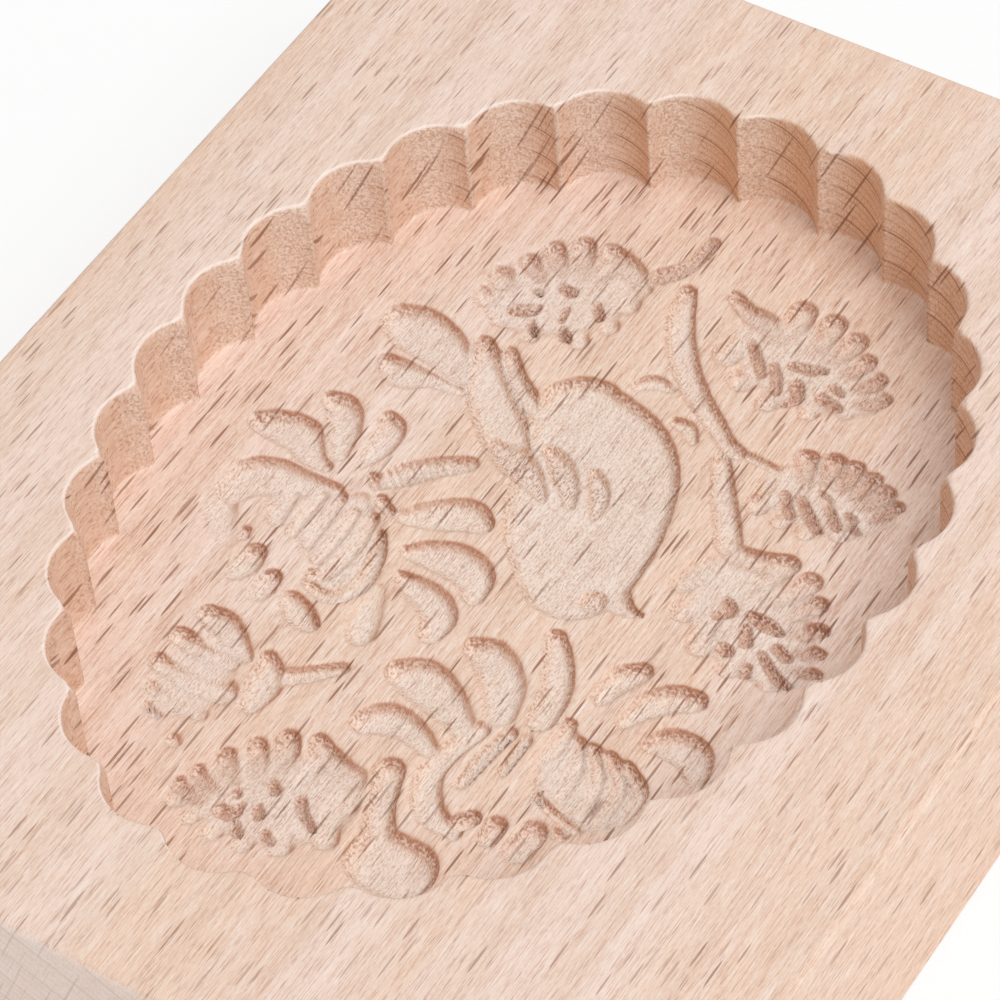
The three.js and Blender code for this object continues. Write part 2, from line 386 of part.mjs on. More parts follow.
// The fluted outline: between two neighbouring points of the oval, an arc that rises
// outwards by the flute's rise. The whole outline can be grown outwards by a margin.
function fluteOutline(margin) {
  const points = flutePoints();
  const outline = [];
  points.forEach((from, k) => {
    const to = points[(k + 1) % FLUTES];
    const middle = from.clone().add(to).divideScalar(2);
    const half = from.distanceTo(to) / 2;
    const along = to.clone().sub(from).normalize();
    const out = new THREE.Vector2(-along.y, along.x);
    const radius = (half * half + FLUTE_RISE * FLUTE_RISE) / (2 * FLUTE_RISE);
    const opening = Math.asin(half / radius);
    for (let i = 0; i < FLUTE_STEPS; i += 1) {
      const angle = opening * (2 * i / FLUTE_STEPS - 1);
      const point = middle.clone()
        .addScaledVector(along, radius * Math.sin(angle))
        .addScaledVector(out, radius * Math.cos(angle) - radius + FLUTE_RISE);
      const away = point.clone().sub(RECESS_CENTRE).normalize();
      outline.push(point.addScaledVector(away, margin));
    }
  });
  return outline.reverse();
}

// The recess, with its rim eased where it meets the top face.
function recessSolid() {
  const level = (margin, z) => fluteOutline(margin).map((p) => new THREE.Vector3(p.x, p.y, z));
  return toSolid(skin([
    level(0, FLOOR),
    level(0, BLOCK_HEIGHT - RIM_EASE),
    level(RIM_EASE, BLOCK_HEIGHT),
    level(RIM_EASE, BLOCK_HEIGHT + CLEARANCE),
  ], true));
}

// One gouge cut: a boat-shaped body along a smooth line through its stations. Every
// cross-section is a full arch below the floor and an upright strip above it. Both ends are
// round, and close on an upright edge.
function gougeSolid({ depth, fade, stations }) {
  const widest = Math.max(...stations.map(([, , half]) => half));
  const facets = FACETING.find((f) => widest <= f.upTo);
  const line = stations.map((station) => new THREE.Vector3(...station));
  const curve = new THREE.CatmullRomCurve3(line, false, 'catmullrom');
  const spans = Math.max(1, Math.round(curve.getLength() / facets.along));
  const sections = [];

  // Adds the cross-section at a share of the line's length, shrunk, and moved along the line
  // by a share of its half width.
  const addSection = (share, reach, shrink) => {
    const { x, y, z: half } = curve.getPoint(share);
    const slope = curve.getTangent(share);
    const along = new THREE.Vector2(slope.x, slope.y).normalize();
    const low = depth * (1 - fade * share) * shrink;
    const wide = half * shrink;
    const place = (across, z) => new THREE.Vector3(
      x + along.x * reach * half - along.y * across,
      y + along.y * reach * half + along.x * across,
      z,
    );
    const arch = Array.from({ length: facets.across + 1 }, (_, i) => {
      const angle = Math.PI * i / facets.across;
      return place(-wide * Math.cos(angle), FLOOR - low * Math.sin(angle) ** FULLNESS);
    });
    const top = FLOOR + CLEARANCE;
    sections.push([place(-wide, top), ...arch, place(wide, top)]);
  };

  const turns = Array.from({ length: facets.cap }, (_, k) => (k + 1) / (facets.cap + 1) * Math.PI / 2);
  addSection(0, -1, 0);
  for (const turn of turns.toReversed()) {
    addSection(0, -Math.sin(turn), Math.cos(turn));
  }
  for (let i = 0; i <= spans; i += 1) {
    addSection(i / spans, 0, 1);
  }
  for (const turn of turns) {
    addSection(1, Math.sin(turn), Math.cos(turn));
  }
  addSection(1, 1, 0);
  return toSolid(skin(sections, false));
}

const beech = new THREE.MeshStandardMaterial({ color: 0xe9ceb4, roughness: 0.7, metalness: 0 });

let solid = blockSolid().subtract(recessSolid());
for (const gouge of MOTIF) {
  solid = solid.subtract(gougeSolid(gouge));
}

const block = new THREE.Mesh(toGeometry(solid), beech);
block.name = 'mould_block';

const group = new THREE.Group();
group.add(block);

export default group;
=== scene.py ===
# %% [markdown]
# # A springerle mould carved in beech
# Dough is pressed into the fluted oval of this block, and comes out as a cookie with a
# raised picture: a bird on a branch among flowers, cut here as hollows. The real thing
# is one piece of wood, so this lesson makes one closed mesh and one material.
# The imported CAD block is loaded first. It gives the frame and the outer size.

import bpy
import numpy as np
from mathutils import Matrix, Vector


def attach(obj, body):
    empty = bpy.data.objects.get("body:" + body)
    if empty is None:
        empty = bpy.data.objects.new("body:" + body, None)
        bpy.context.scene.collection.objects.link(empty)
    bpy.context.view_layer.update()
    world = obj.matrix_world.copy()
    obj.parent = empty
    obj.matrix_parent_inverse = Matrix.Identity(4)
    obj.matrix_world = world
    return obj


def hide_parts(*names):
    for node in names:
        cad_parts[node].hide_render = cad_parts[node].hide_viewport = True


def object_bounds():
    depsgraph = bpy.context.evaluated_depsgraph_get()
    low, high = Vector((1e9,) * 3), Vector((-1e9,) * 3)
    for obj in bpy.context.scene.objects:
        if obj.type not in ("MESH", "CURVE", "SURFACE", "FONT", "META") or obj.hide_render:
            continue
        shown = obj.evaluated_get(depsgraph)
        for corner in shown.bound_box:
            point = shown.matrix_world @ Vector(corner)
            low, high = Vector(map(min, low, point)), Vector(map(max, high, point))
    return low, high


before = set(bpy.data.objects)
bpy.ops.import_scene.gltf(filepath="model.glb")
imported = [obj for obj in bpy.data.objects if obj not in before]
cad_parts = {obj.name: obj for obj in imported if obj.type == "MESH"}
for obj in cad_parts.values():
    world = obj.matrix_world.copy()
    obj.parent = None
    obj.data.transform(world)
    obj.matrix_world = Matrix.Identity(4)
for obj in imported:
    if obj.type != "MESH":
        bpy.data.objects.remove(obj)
cad_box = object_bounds()
print("block", [round(1000 * (high - low), 2) for low, high in zip(*cad_box)], "mm")

# %% [markdown]
# ## Sizes
# Everything below is worked out in millimetres, with the origin in the middle of the
# underside, and is turned to metres once, when the mesh is made. The outer size is read
# from the CAD block, so that the two always agree. The recess is an oval, a little
# fuller at the far end, and its rim is divided into flutes of equal length.

# %% Sizes in millimetres
MM = 0.001
LENGTH, WIDTH = (1000 * (cad_box[1][i] - cad_box[0][i]) for i in (1, 0))
HEIGHT = 1000 * cad_box[1][2]
RECESS_DEPTH = 13.5
FLOOR = HEIGHT - RECESS_DEPTH
OVAL_CENTRE = np.array([-1.35, 1.13])
OVAL_HALF = np.array([42.6, 57.3])
EGG_SHARE = 0.018
FLUTES = 30
FLUTE_RISE = 2.9
print(f"length {LENGTH:.1f}, width {WIDTH:.1f}, height {HEIGHT:.1f}, floor at {FLOOR:.1f}")

# %% [markdown]
# ## Camera
# The block was seen from above its near right corner with a long lens, so its edges
# hardly converge. The three axes of the camera are written out as a rotation matrix:
# to the right, up, and back from the block. Its place is in metres.

# %% Camera
RIGHT = (0.842805, 0.534839, -0.060225)
UP = (-0.375303, 0.664207, 0.646511)
BACK = (0.385781, -0.522280, 0.760524)
PLACE = (0.187268, -0.257113, 0.398115)
LENS, SENSOR = 164.4, 36.0
camera = bpy.data.objects.new("camera", bpy.data.cameras.new("camera"))
camera.data.lens = LENS
camera.data.sensor_width = SENSOR
turn = Matrix((RIGHT, UP, BACK)).transposed().to_4x4()
camera.matrix_world = Matrix.Translation(PLACE) @ turn
bpy.context.collection.objects.link(camera)
bpy.context.scene.camera = camera
print("camera", [round(v, 3) for v in camera.location], "lens", LENS, "mm")

# %% [markdown]
# ## The fluted outline
# On the real mould a round cutter was plunged side by side round the oval, which leaves
# scallops with sharp ridges between them. It could be drawn as one arc per flute.
# Here the outline is stored as its reach in every direction, because then any point of
# a disc can be carried out to it. The reach is 1 on the plain oval.

# %% Reach of the outline
def oval(turn):
    """Centre plus half axes times (sin, cos) of the turn, drawn in by EGG_SHARE times
    the cosine of three turns. The turn runs from the far end towards +X."""
    share = 1 - EGG_SHARE * np.cos(3 * turn)
    return OVAL_CENTRE + OVAL_HALF * np.stack([share * np.sin(turn), share * np.cos(turn)], -1)


def flute_points():
    """Points at equal steps of length round the oval, half a step from the far end."""
    path = oval(np.linspace(0, 2 * np.pi, 7201))
    length = np.insert(np.cumsum(np.hypot(*np.diff(path, axis=0).T)), 0, 0)
    wanted = (np.arange(FLUTES) + 0.5) / FLUTES * length[-1]
    return np.stack([np.interp(wanted, length, path[:, i]) for i in (0, 1)], -1)


def flutes(steps=160):
    """An arc over each chord between neighbouring points, rising outwards by
    FLUTE_RISE: radius = (half chord squared + rise squared) / (2 rise)."""
    start = flute_points()
    end = np.roll(start, -1, axis=0)
    half = np.hypot(*(end - start).T)[:, None] / 2
    ahead = (end - start) / (2 * half)
    out = np.stack([-ahead[:, 1], ahead[:, 0]], -1)
    radius = (half**2 + FLUTE_RISE**2) / (2 * FLUTE_RISE)
    swing = np.arcsin(half / radius) * np.linspace(-1, 1, steps, endpoint=False)
    across = radius * np.sin(swing)
    rise = radius * np.cos(swing) - radius + FLUTE_RISE
    middle = (start + end) / 2
    rows = middle[:, None] + ahead[:, None] * across[..., None] + out[:, None] * rise[..., None]
    return rows.reshape(-1, 2)


edge = (flutes() - OVAL_CENTRE) / OVAL_HALF
edge_turn = np.arctan2(edge[:, 0], edge[:, 1]) % (2 * np.pi)
edge_order = np.argsort(edge_turn)
edge_turn, edge_reach = edge_turn[edge_order], np.hypot(*edge.T)[edge_order]
print(f"{FLUTES} flutes, reach {edge_reach.min():.3f} to {edge_reach.max():.3f}")

# %% [markdown]
# ## The floor as a grid
# A floor could be cut into rings and spokes like a cobweb, but then its middle cells get
# tiny and its rim cells long. Here a square grid is bent onto a disc instead, which
# keeps all cells nearly square, and the disc is stretched to the fluted outline. The
# grid is a little denser in the middle, where the carving is.

# %% Floor grid
ACROSS, ALONG = 240, 310
DENSER, FOOT = 0.15, 0.3


def denser_in_middle(count):
    """Steps t from -1 to 1, moved to (1 - DENSER) t + DENSER t cubed."""
    t = np.linspace(-1, 1, count + 1)
    return (1 - DENSER) * t + DENSER * t**3


def onto_outline(u, v, margin=0.0):
    """Square to disc: the larger of u and v becomes the distance from the middle, and
    the smaller over the larger, times an eighth of a turn, the angle from its axis.
    Then the disc is stretched by the half axes, and by the reach of the flutes times
    the eighth power of the distance, so that only cells near the rim follow them."""
    wide = np.abs(u) > np.abs(v)
    larger, smaller = np.where(wide, u, v), np.where(wide, v, u)
    angle = np.pi / 4 * smaller / np.where(larger == 0, 1, larger)
    near_axis, off_axis = larger * np.cos(angle), larger * np.sin(angle)
    x, y = np.where(wide, near_axis, off_axis), np.where(wide, off_axis, near_axis)
    away = np.abs(larger)
    reach = np.interp(np.arctan2(x, y), edge_turn, edge_reach, period=2 * np.pi)
    grow = 1 + (reach - 1) * away**8
    flat = np.stack([x, y], -1) * grow[..., None] * OVAL_HALF
    size = np.maximum(np.hypot(flat[..., 0], flat[..., 1]), 1e-9)
    return OVAL_CENTRE + flat * (1 + margin * away**8 / size)[..., None]


square_u, square_v = np.meshgrid(denser_in_middle(ACROSS), denser_in_middle(ALONG))
floor_xy = onto_outline(square_u, square_v, -FOOT)
cell = np.hypot(*(floor_xy[ALONG // 2, ACROSS // 2 + 1] - floor_xy[ALONG // 2, ACROSS // 2]))
print(f"floor grid {ACROSS} x {ALONG}, middle cell {cell:.2f} mm")

# %% [markdown]
# ## The cuts
# Each hollow of the picture is one gouge cut. A cut is noted as its depth, the share of
# that depth lost from its first station to its last, and its stations as x, y and half
# width. Where the cutter chattered, a cut has ribs across its line. An image could hold
# the depths, but these notes are short, and can be read and corrected one by one. The CAD
# block has the same cuts, apart from the ribs, the fuller basins of the leaves here, and
# the eye and three feathers, which lie 1 to 2.5 mm from its own.

# %% Cut notes
def cut(depth, fade, *stations, ribs=0.0):
    """The note of one gouge cut, all in mm apart from the fade, which is a share."""
    return {"depth": depth, "fade": fade, "stations": stations, "ribs": ribs}


# The rose on the left: outer petals, the ribbed cup in the middle, sepals and stem.
ROSE = [
    cut(1.6, 0.4, [-31.2, 8.7, 1.3], [-29.2, 8.0, 2.3], [-27.4, 5.6, 2.2], [-26.0, 2.4, 1.3]),
    cut(1.6, 0.5, [-24.0, 9.4, 1.2], [-22.9, 8.1, 2.0], [-22.5, 5.4, 1.8], [-23.0, 2.6, 1.1]),
    cut(1.7, 0.4, [-36.6, 2.0, 1.4], [-34.4, 2.4, 2.5], [-31.2, 2.5, 2.8], [-28.6, 0.8, 1.9],
        [-26.2, 0.0, 1.0]),
    cut(1.5, 0.4, [-6.6, 1.6, 1.6], [-8.8, 1.7, 2.6], [-12.0, -0.2, 2.3], [-14.6, -1.8, 1.2]),
    cut(1.6, 0.4, [-1.9, -7.4, 1.5], [-3.2, -5.2, 2.5], [-5.9, -4.4, 2.8], [-9.0, -4.9, 2.2],
        [-11.6, -5.8, 1.0]),
    cut(1.5, 0.4, [-3.2, -14.0, 1.7], [-3.6, -11.8, 2.3], [-5.7, -10.2, 2.3], [-8.6, -9.6, 1.7],
        [-10.4, -9.0, 0.8]),
    cut(1.6, 0.4, [-33.4, -8.0, 2.2], [-32.6, -5.4, 3.0], [-30.4, -4.2, 3.0],
        [-27.0, -3.4, 2.2], [-23.4, -2.4, 1.2]),
    cut(1.0, 0.6, [-33.2, -10.4, 2.2], [-32.0, -12.2, 2.2], [-30.0, -14.0, 1.6]),
    cut(0.9, 0.4, [-9.6, -18.0, 1.9], [-10.4, -15.6, 2.0], [-11.4, -12.0, 1.2]),
    cut(1.5, 0.4, [-27.6, -4.6, 1.3], [-27.4, -7.0, 1.8], [-26.6, -9.2, 1.1]),
    cut(0.8, 0.2, [-24.6, -3.6, 1.8], [-23.6, -6.4, 3.4], [-21.0, -8.0, 3.6],
        [-18.6, -10.0, 3.0]),
    cut(0.8, 0.0, [-20.0, -3.0, 2.2], [-18.0, -6.0, 3.0], [-16.0, -10.0, 3.2],
        [-16.4, -13.2, 2.4]),
    cut(1.5, 0.2, [-24.6, -3.0, 0.8], [-24.7, -6.4, 1.2], [-24.2, -9.8, 0.8]),
    cut(1.5, 0.2, [-22.3, -2.8, 0.8], [-22.2, -6.6, 1.2], [-21.8, -10.2, 0.8]),
    cut(1.5, 0.2, [-20.0, -3.4, 0.8], [-19.7, -7.2, 1.2], [-19.8, -11.4, 0.9]),
    cut(1.5, 0.2, [-17.6, -3.6, 0.9], [-17.2, -7.6, 1.3], [-17.6, -12.2, 1.1],
        [-19.0, -13.6, 0.8]),
    cut(1.8, 0.2, [-15.4, -5.2, 0.7], [-14.2, -8.8, 1.5], [-13.9, -12.6, 1.6],
        [-15.8, -15.0, 1.5], [-18.6, -14.8, 0.8]),
    cut(1.2, 0.0, [-18.2, -1.0, 0.9], [-16.4, -2.0, 0.8]),
    cut(1.5, 0.5, [-26.0, -14.2, 1.5], [-26.2, -16.0, 2.1], [-26.4, -17.6, 1.4]),
    cut(1.5, 0.5, [-22.5, -16.2, 1.3], [-22.6, -17.8, 1.8], [-22.6, -19.0, 1.2]),
    cut(1.6, 0.3, [-14.9, -19.6, 1.0], [-16.9, -18.9, 1.9], [-18.9, -17.8, 1.5]),
    cut(1.3, 0.0, [-28.8, -11.9, 0.6], [-28.5, -13.0, 0.6]),
    cut(1.3, 0.1, [-12.4, 8.2, 1.3], [-15.0, 6.2, 1.7], [-17.6, 3.5, 1.9], [-19.3, 1.5, 1.4],
        ribs=0.4),
    cut(1.5, 0.0, [-20.7, 1.4, 0.7], [-19.6, 0.4, 0.8]),
]

# The bird: body and head, beak, two tail fans, the far wing, three feathers of the near
# wing and the two feet on the branch. Its eye is added with the depths.
BIRD = [
    cut(1.7, 0.0, [-5.5, 20.5, 5.8], [0.0, 15.5, 8.8], [2.5, 9.0, 9.4], [5.0, 3.0, 7.7],
        [6.2, 0.0, 6.0]),
    cut(1.5, 0.5, [11.0, 0.0, 2.4], [13.4, -0.9, 1.2], [15.4, -0.9, 0.4]),
    cut(1.6, 0.35, [-30.8, 22.6, 2.8], [-28.2, 22.3, 3.7], [-24.2, 21.2, 3.2],
        [-20.4, 19.2, 2.0]),
    cut(1.3, 0.35, [-28.6, 16.4, 1.6], [-26.4, 15.8, 2.4], [-22.8, 16.8, 1.5],
        [-19.2, 16.9, 0.9]),
    cut(2.0, 0.1, [-20.6, 24.2, 1.3], [-18.2, 20.8, 2.6], [-14.8, 17.2, 3.2],
        [-11.2, 13.8, 3.2], [-8.0, 11.0, 2.5]),
    cut(1.5, 0.2, [-17.4, 24.4, 1.0], [-14.6, 21.7, 1.2], [-11.0, 19.2, 1.4], [-6.5, 17.4, 1.2],
        [-3.6, 16.2, 0.6]),
    cut(2.6, 0.15, [-12.6, 13.3, 1.2], [-9.8, 12.4, 2.7], [-6.2, 10.8, 2.5], [-3.4, 8.9, 1.0]),
    cut(2.7, 0.15, [-6.4, 15.3, 1.3], [-4.2, 14.1, 2.3], [-1.8, 11.7, 2.2], [-0.2, 9.5, 1.1]),
    cut(2.6, 0.15, [-0.5, 15.1, 1.1], [1.2, 13.3, 2.2], [2.4, 11.1, 1.9], [3.0, 9.5, 0.9]),
    cut(1.0, 0.2, [-2.2, 27.3, 0.9], [-0.9, 28.6, 1.2], [1.3, 28.7, 0.8]),
    cut(1.0, 0.2, [4.4, 24.7, 0.9], [6.0, 24.5, 1.2], [7.4, 23.2, 0.8]),
]

# The branch that the bird sits on, with its twig and the stalk of the right-hand leaf.
BRANCH = [
    cut(1.3, 0.0, [-4.6, 42.2, 1.3], [-2.6, 37.2, 1.9], [0.6, 32.8, 1.9], [4.2, 29.4, 1.7],
        [8.0, 26.8, 1.4], [10.8, 24.8, 1.2], [12.8, 24.2, 1.0]),
    cut(0.9, 0.2, [12.8, 24.4, 0.6], [16.0, 24.2, 0.7], [18.4, 24.0, 0.6]),
    cut(1.2, 0.0, [11.5, 22.5, 1.2], [14.0, 18.6, 1.6], [16.4, 15.4, 1.7], [18.4, 12.4, 1.8]),
]

# Five lobed leaves: scoops round the border, and the pockets between the veins.
RIGHT_LEAF = [
    cut(0.8, 0.0, [20.4, 9.0, 2.6], [23.4, 5.8, 5.8], [27.8, 3.0, 6.0], [32.2, 0.6, 3.4]),
    cut(1.5, 0.4, [25.4, 12.9, 1.7], [22.8, 11.8, 1.8], [19.6, 11.4, 1.7]),
    cut(1.4, 0.7, [24.8, 12.2, 2.1], [24.0, 10.0, 2.4], [23.8, 8.0, 1.6]),
    cut(1.5, 0.65, [28.8, 12.0, 1.6], [27.6, 9.6, 1.9], [26.4, 7.8, 1.5]),
    cut(1.5, 0.65, [31.1, 9.7, 1.4], [29.6, 7.8, 1.7], [28.6, 6.8, 1.3]),
    cut(1.5, 0.65, [33.1, 6.8, 1.1], [31.6, 5.8, 1.5], [30.4, 5.2, 1.2]),
    cut(1.4, 0.6, [34.6, 3.9, 0.9], [33.2, 3.6, 1.3], [32.2, 3.6, 1.0]),
    cut(1.3, 0.6, [35.7, 1.4, 0.7], [34.4, 1.2, 1.1], [33.2, 1.2, 0.9]),
    cut(1.2, 0.5, [16.8, 5.0, 1.5], [18.0, 7.4, 2.0], [18.8, 9.8, 1.6], ribs=0.3),
    cut(1.2, 0.6, [18.9, 1.9, 1.7], [19.6, 4.2, 1.7], [19.8, 6.2, 1.1]),
    cut(1.2, 0.6, [22.9, -1.1, 1.9], [22.4, 1.4, 1.9], [21.4, 3.0, 1.2]),
    cut(1.2, 0.6, [27.1, -2.4, 1.5], [27.0, -0.8, 1.3]),
    cut(1.1, 0.5, [31.6, -2.1, 1.3], [33.6, -1.4, 1.0]),
    cut(1.9, 0.2, [22.0, 6.0, 0.6], [23.0, 4.9, 1.1], [22.2, 3.6, 0.8]),
    cut(2.0, 0.0, [25.4, 5.5, 0.8], [27.4, 5.1, 1.2], [29.2, 4.8, 0.7]),
    cut(1.8, 0.0, [25.8, 3.6, 0.8], [26.8, 1.8, 0.9]),
    cut(1.8, 0.0, [25.1, 0.0, 1.1], [25.5, -0.1, 1.1]),
    cut(1.9, 0.0, [30.0, 2.9, 0.8], [31.6, 2.2, 0.8]),
    cut(2.0, 0.0, [29.0, 1.4, 0.6], [31.2, -0.2, 0.8], [33.3, -1.2, 0.7]),
    cut(1.9, 0.0, [28.5, -1.0, 0.8], [28.9, -2.2, 0.8]),
]
TWIG_LEAF = [
    cut(0.8, 0.0, [19.8, 22.6, 3.4], [23.4, 22.9, 4.9], [27.2, 23.2, 4.6], [30.8, 23.8, 2.2]),
    cut(1.5, 0.6, [19.8, 27.1, 1.6], [20.8, 25.2, 1.5], [21.6, 24.0, 1.0]),
    cut(1.6, 0.6, [22.6, 28.2, 1.5], [22.9, 26.2, 1.3], [23.0, 25.0, 0.9]),
    cut(1.6, 0.6, [25.1, 28.4, 1.4], [25.1, 26.2, 1.3], [24.9, 25.2, 0.9]),
    cut(1.5, 0.6, [27.5, 28.0, 1.3], [27.2, 25.8, 1.2], [26.8, 24.8, 0.9]),
    cut(1.5, 0.6, [29.7, 27.0, 1.3], [29.0, 25.2, 1.2], [28.4, 24.2, 0.9]),
    cut(1.5, 0.6, [31.6, 25.8, 1.1], [30.6, 24.2, 1.2], [30.0, 23.2, 0.8]),
    cut(1.8, 0.0, [19.9, 22.1, 0.6], [21.9, 19.6, 0.8]),
    cut(1.9, 0.0, [21.9, 22.2, 0.7], [24.0, 20.4, 0.8], [25.8, 18.9, 0.7]),
    cut(1.8, 0.0, [24.9, 22.9, 0.6], [27.2, 20.6, 0.8]),
    cut(1.7, 0.0, [27.3, 22.9, 0.5], [28.4, 22.4, 0.6]),
    cut(1.7, 0.0, [28.4, 21.6, 0.6], [29.6, 20.9, 0.6]),
    cut(1.3, 0.0, [23.4, 24.2, 0.5], [24.9, 23.6, 0.5]),
    cut(1.2, 0.5, [18.3, 18.8, 1.7], [19.2, 20.6, 1.2]),
    cut(1.1, 0.5, [21.6, 18.2, 1.5], [22.4, 19.6, 1.1]),
    cut(1.1, 0.5, [24.8, 18.0, 1.4], [25.6, 19.2, 1.1]),
    cut(1.0, 0.5, [28.2, 19.4, 1.2], [28.6, 20.4, 0.9]),
]
FAR_RIGHT_LEAF = [
    cut(0.8, 0.0, [5.0, 40.2, 2.6], [9.0, 39.6, 5.2], [13.0, 39.0, 6.2], [17.0, 38.6, 5.2],
        [20.4, 38.0, 3.2]),
    cut(1.4, 0.4, [0.3, 44.3, 0.9], [3.0, 43.0, 1.4], [6.0, 42.4, 1.8], [8.4, 41.4, 1.5]),
    cut(1.4, 0.65, [8.4, 46.0, 1.9], [8.8, 43.4, 2.0], [9.2, 41.2, 1.5]),
    cut(1.5, 0.65, [12.4, 46.0, 1.8], [12.4, 43.2, 1.9], [12.2, 41.4, 1.3]),
    cut(1.5, 0.65, [15.9, 44.9, 1.6], [15.2, 42.6, 1.7], [14.8, 41.2, 1.2]),
    cut(1.5, 0.65, [18.4, 42.9, 1.3], [17.6, 41.2, 1.5], [17.0, 40.2, 1.1]),
    cut(1.5, 0.6, [20.9, 41.0, 1.3], [19.8, 39.8, 1.4], [19.0, 39.0, 1.0]),
    cut(1.5, 0.5, [22.8, 38.7, 1.2], [21.4, 37.8, 1.3], [20.4, 37.6, 1.0]),
    cut(1.2, 0.6, [4.2, 36.3, 2.0], [4.8, 38.6, 1.6], [4.8, 40.6, 1.0]),
    cut(1.2, 0.6, [7.6, 33.8, 2.0], [9.0, 35.6, 1.6]),
    cut(1.1, 0.6, [11.6, 32.3, 1.7], [12.0, 33.6, 1.3]),
    cut(1.1, 0.6, [16.4, 33.3, 1.5], [16.6, 34.6, 1.2]),
    cut(1.0, 0.6, [20.0, 35.3, 1.4], [19.6, 36.4, 1.0]),
    cut(1.9, 0.0, [11.0, 38.8, 0.6], [13.0, 39.2, 0.9], [14.8, 39.9, 0.5]),
    cut(1.8, 0.0, [16.8, 38.2, 0.7], [18.0, 37.8, 0.6]),
    cut(1.9, 0.0, [16.4, 36.2, 0.9], [18.8, 35.7, 0.8]),
    cut(1.9, 0.0, [12.9, 36.6, 1.0], [14.0, 35.0, 1.0], [13.6, 33.2, 0.8]),
    cut(1.7, 0.2, [9.4, 37.8, 0.7], [10.6, 36.2, 0.9], [11.6, 34.4, 0.8]),
    cut(1.7, 0.2, [5.4, 39.6, 0.6], [7.0, 38.0, 0.9], [8.8, 36.0, 0.9]),
]
FAR_LEFT_LEAF = [
    cut(0.8, 0.0, [-11.2, 39.0, 3.0], [-14.6, 36.6, 5.6], [-17.4, 34.4, 6.4],
        [-20.0, 32.2, 5.0], [-22.2, 30.8, 3.0]),
    cut(1.5, 0.4, [-15.6, 43.4, 1.5], [-12.4, 42.2, 1.9], [-9.6, 40.4, 1.6]),
    cut(1.3, 0.65, [-14.6, 42.2, 2.0], [-14.6, 40.0, 1.9], [-14.8, 38.4, 1.3]),
    cut(1.5, 0.65, [-18.8, 42.6, 1.6], [-17.6, 40.6, 1.8], [-17.0, 38.8, 1.3]),
    cut(1.5, 0.65, [-21.5, 40.5, 1.5], [-19.8, 39.0, 1.7], [-18.8, 37.8, 1.2]),
    cut(1.4, 0.6, [-23.0, 37.6, 1.4], [-21.2, 36.6, 1.6], [-20.2, 36.0, 1.1]),
    cut(1.4, 0.6, [-24.4, 33.9, 2.0], [-22.4, 33.8, 1.7]),
    cut(1.2, 0.6, [-24.4, 30.6, 1.8], [-22.6, 31.4, 1.4]),
    cut(1.0, 0.6, [-21.3, 28.5, 1.5], [-20.2, 29.6, 1.1]),
    cut(1.2, 0.6, [-9.8, 37.4, 1.9], [-11.4, 37.4, 1.5]),
    cut(0.9, 0.5, [-9.8, 33.4, 1.6], [-11.0, 33.6, 1.2]),
    cut(0.9, 0.5, [-11.6, 29.8, 1.5], [-12.2, 31.0, 1.1]),
    cut(0.9, 0.5, [-16.8, 27.8, 1.3], [-16.6, 28.8, 1.0]),
    cut(2.1, 0.0, [-17.6, 36.4, 0.8], [-16.4, 36.2, 0.8]),
    cut(1.7, 0.0, [-20.2, 34.5, 0.5], [-19.5, 34.3, 0.5]),
    cut(2.2, 0.0, [-20.9, 30.8, 0.9], [-19.3, 31.4, 1.1], [-18.6, 32.3, 0.6]),
    cut(1.8, 0.0, [-18.2, 30.0, 0.5], [-16.8, 28.8, 0.6]),
    cut(1.9, 0.0, [-14.4, 30.8, 0.5], [-13.0, 29.4, 0.8]),
    cut(1.7, 0.0, [-13.0, 36.0, 0.6], [-11.6, 34.4, 0.8]),
    cut(1.6, 0.0, [-15.6, 33.8, 0.5], [-15.2, 32.0, 0.5]),
    cut(1.3, 0.1, [-6.0, 50.2, 1.1], [-6.2, 47.2, 1.1], [-7.0, 44.8, 1.3], [-8.6, 42.8, 1.4],
        ribs=0.3),
]
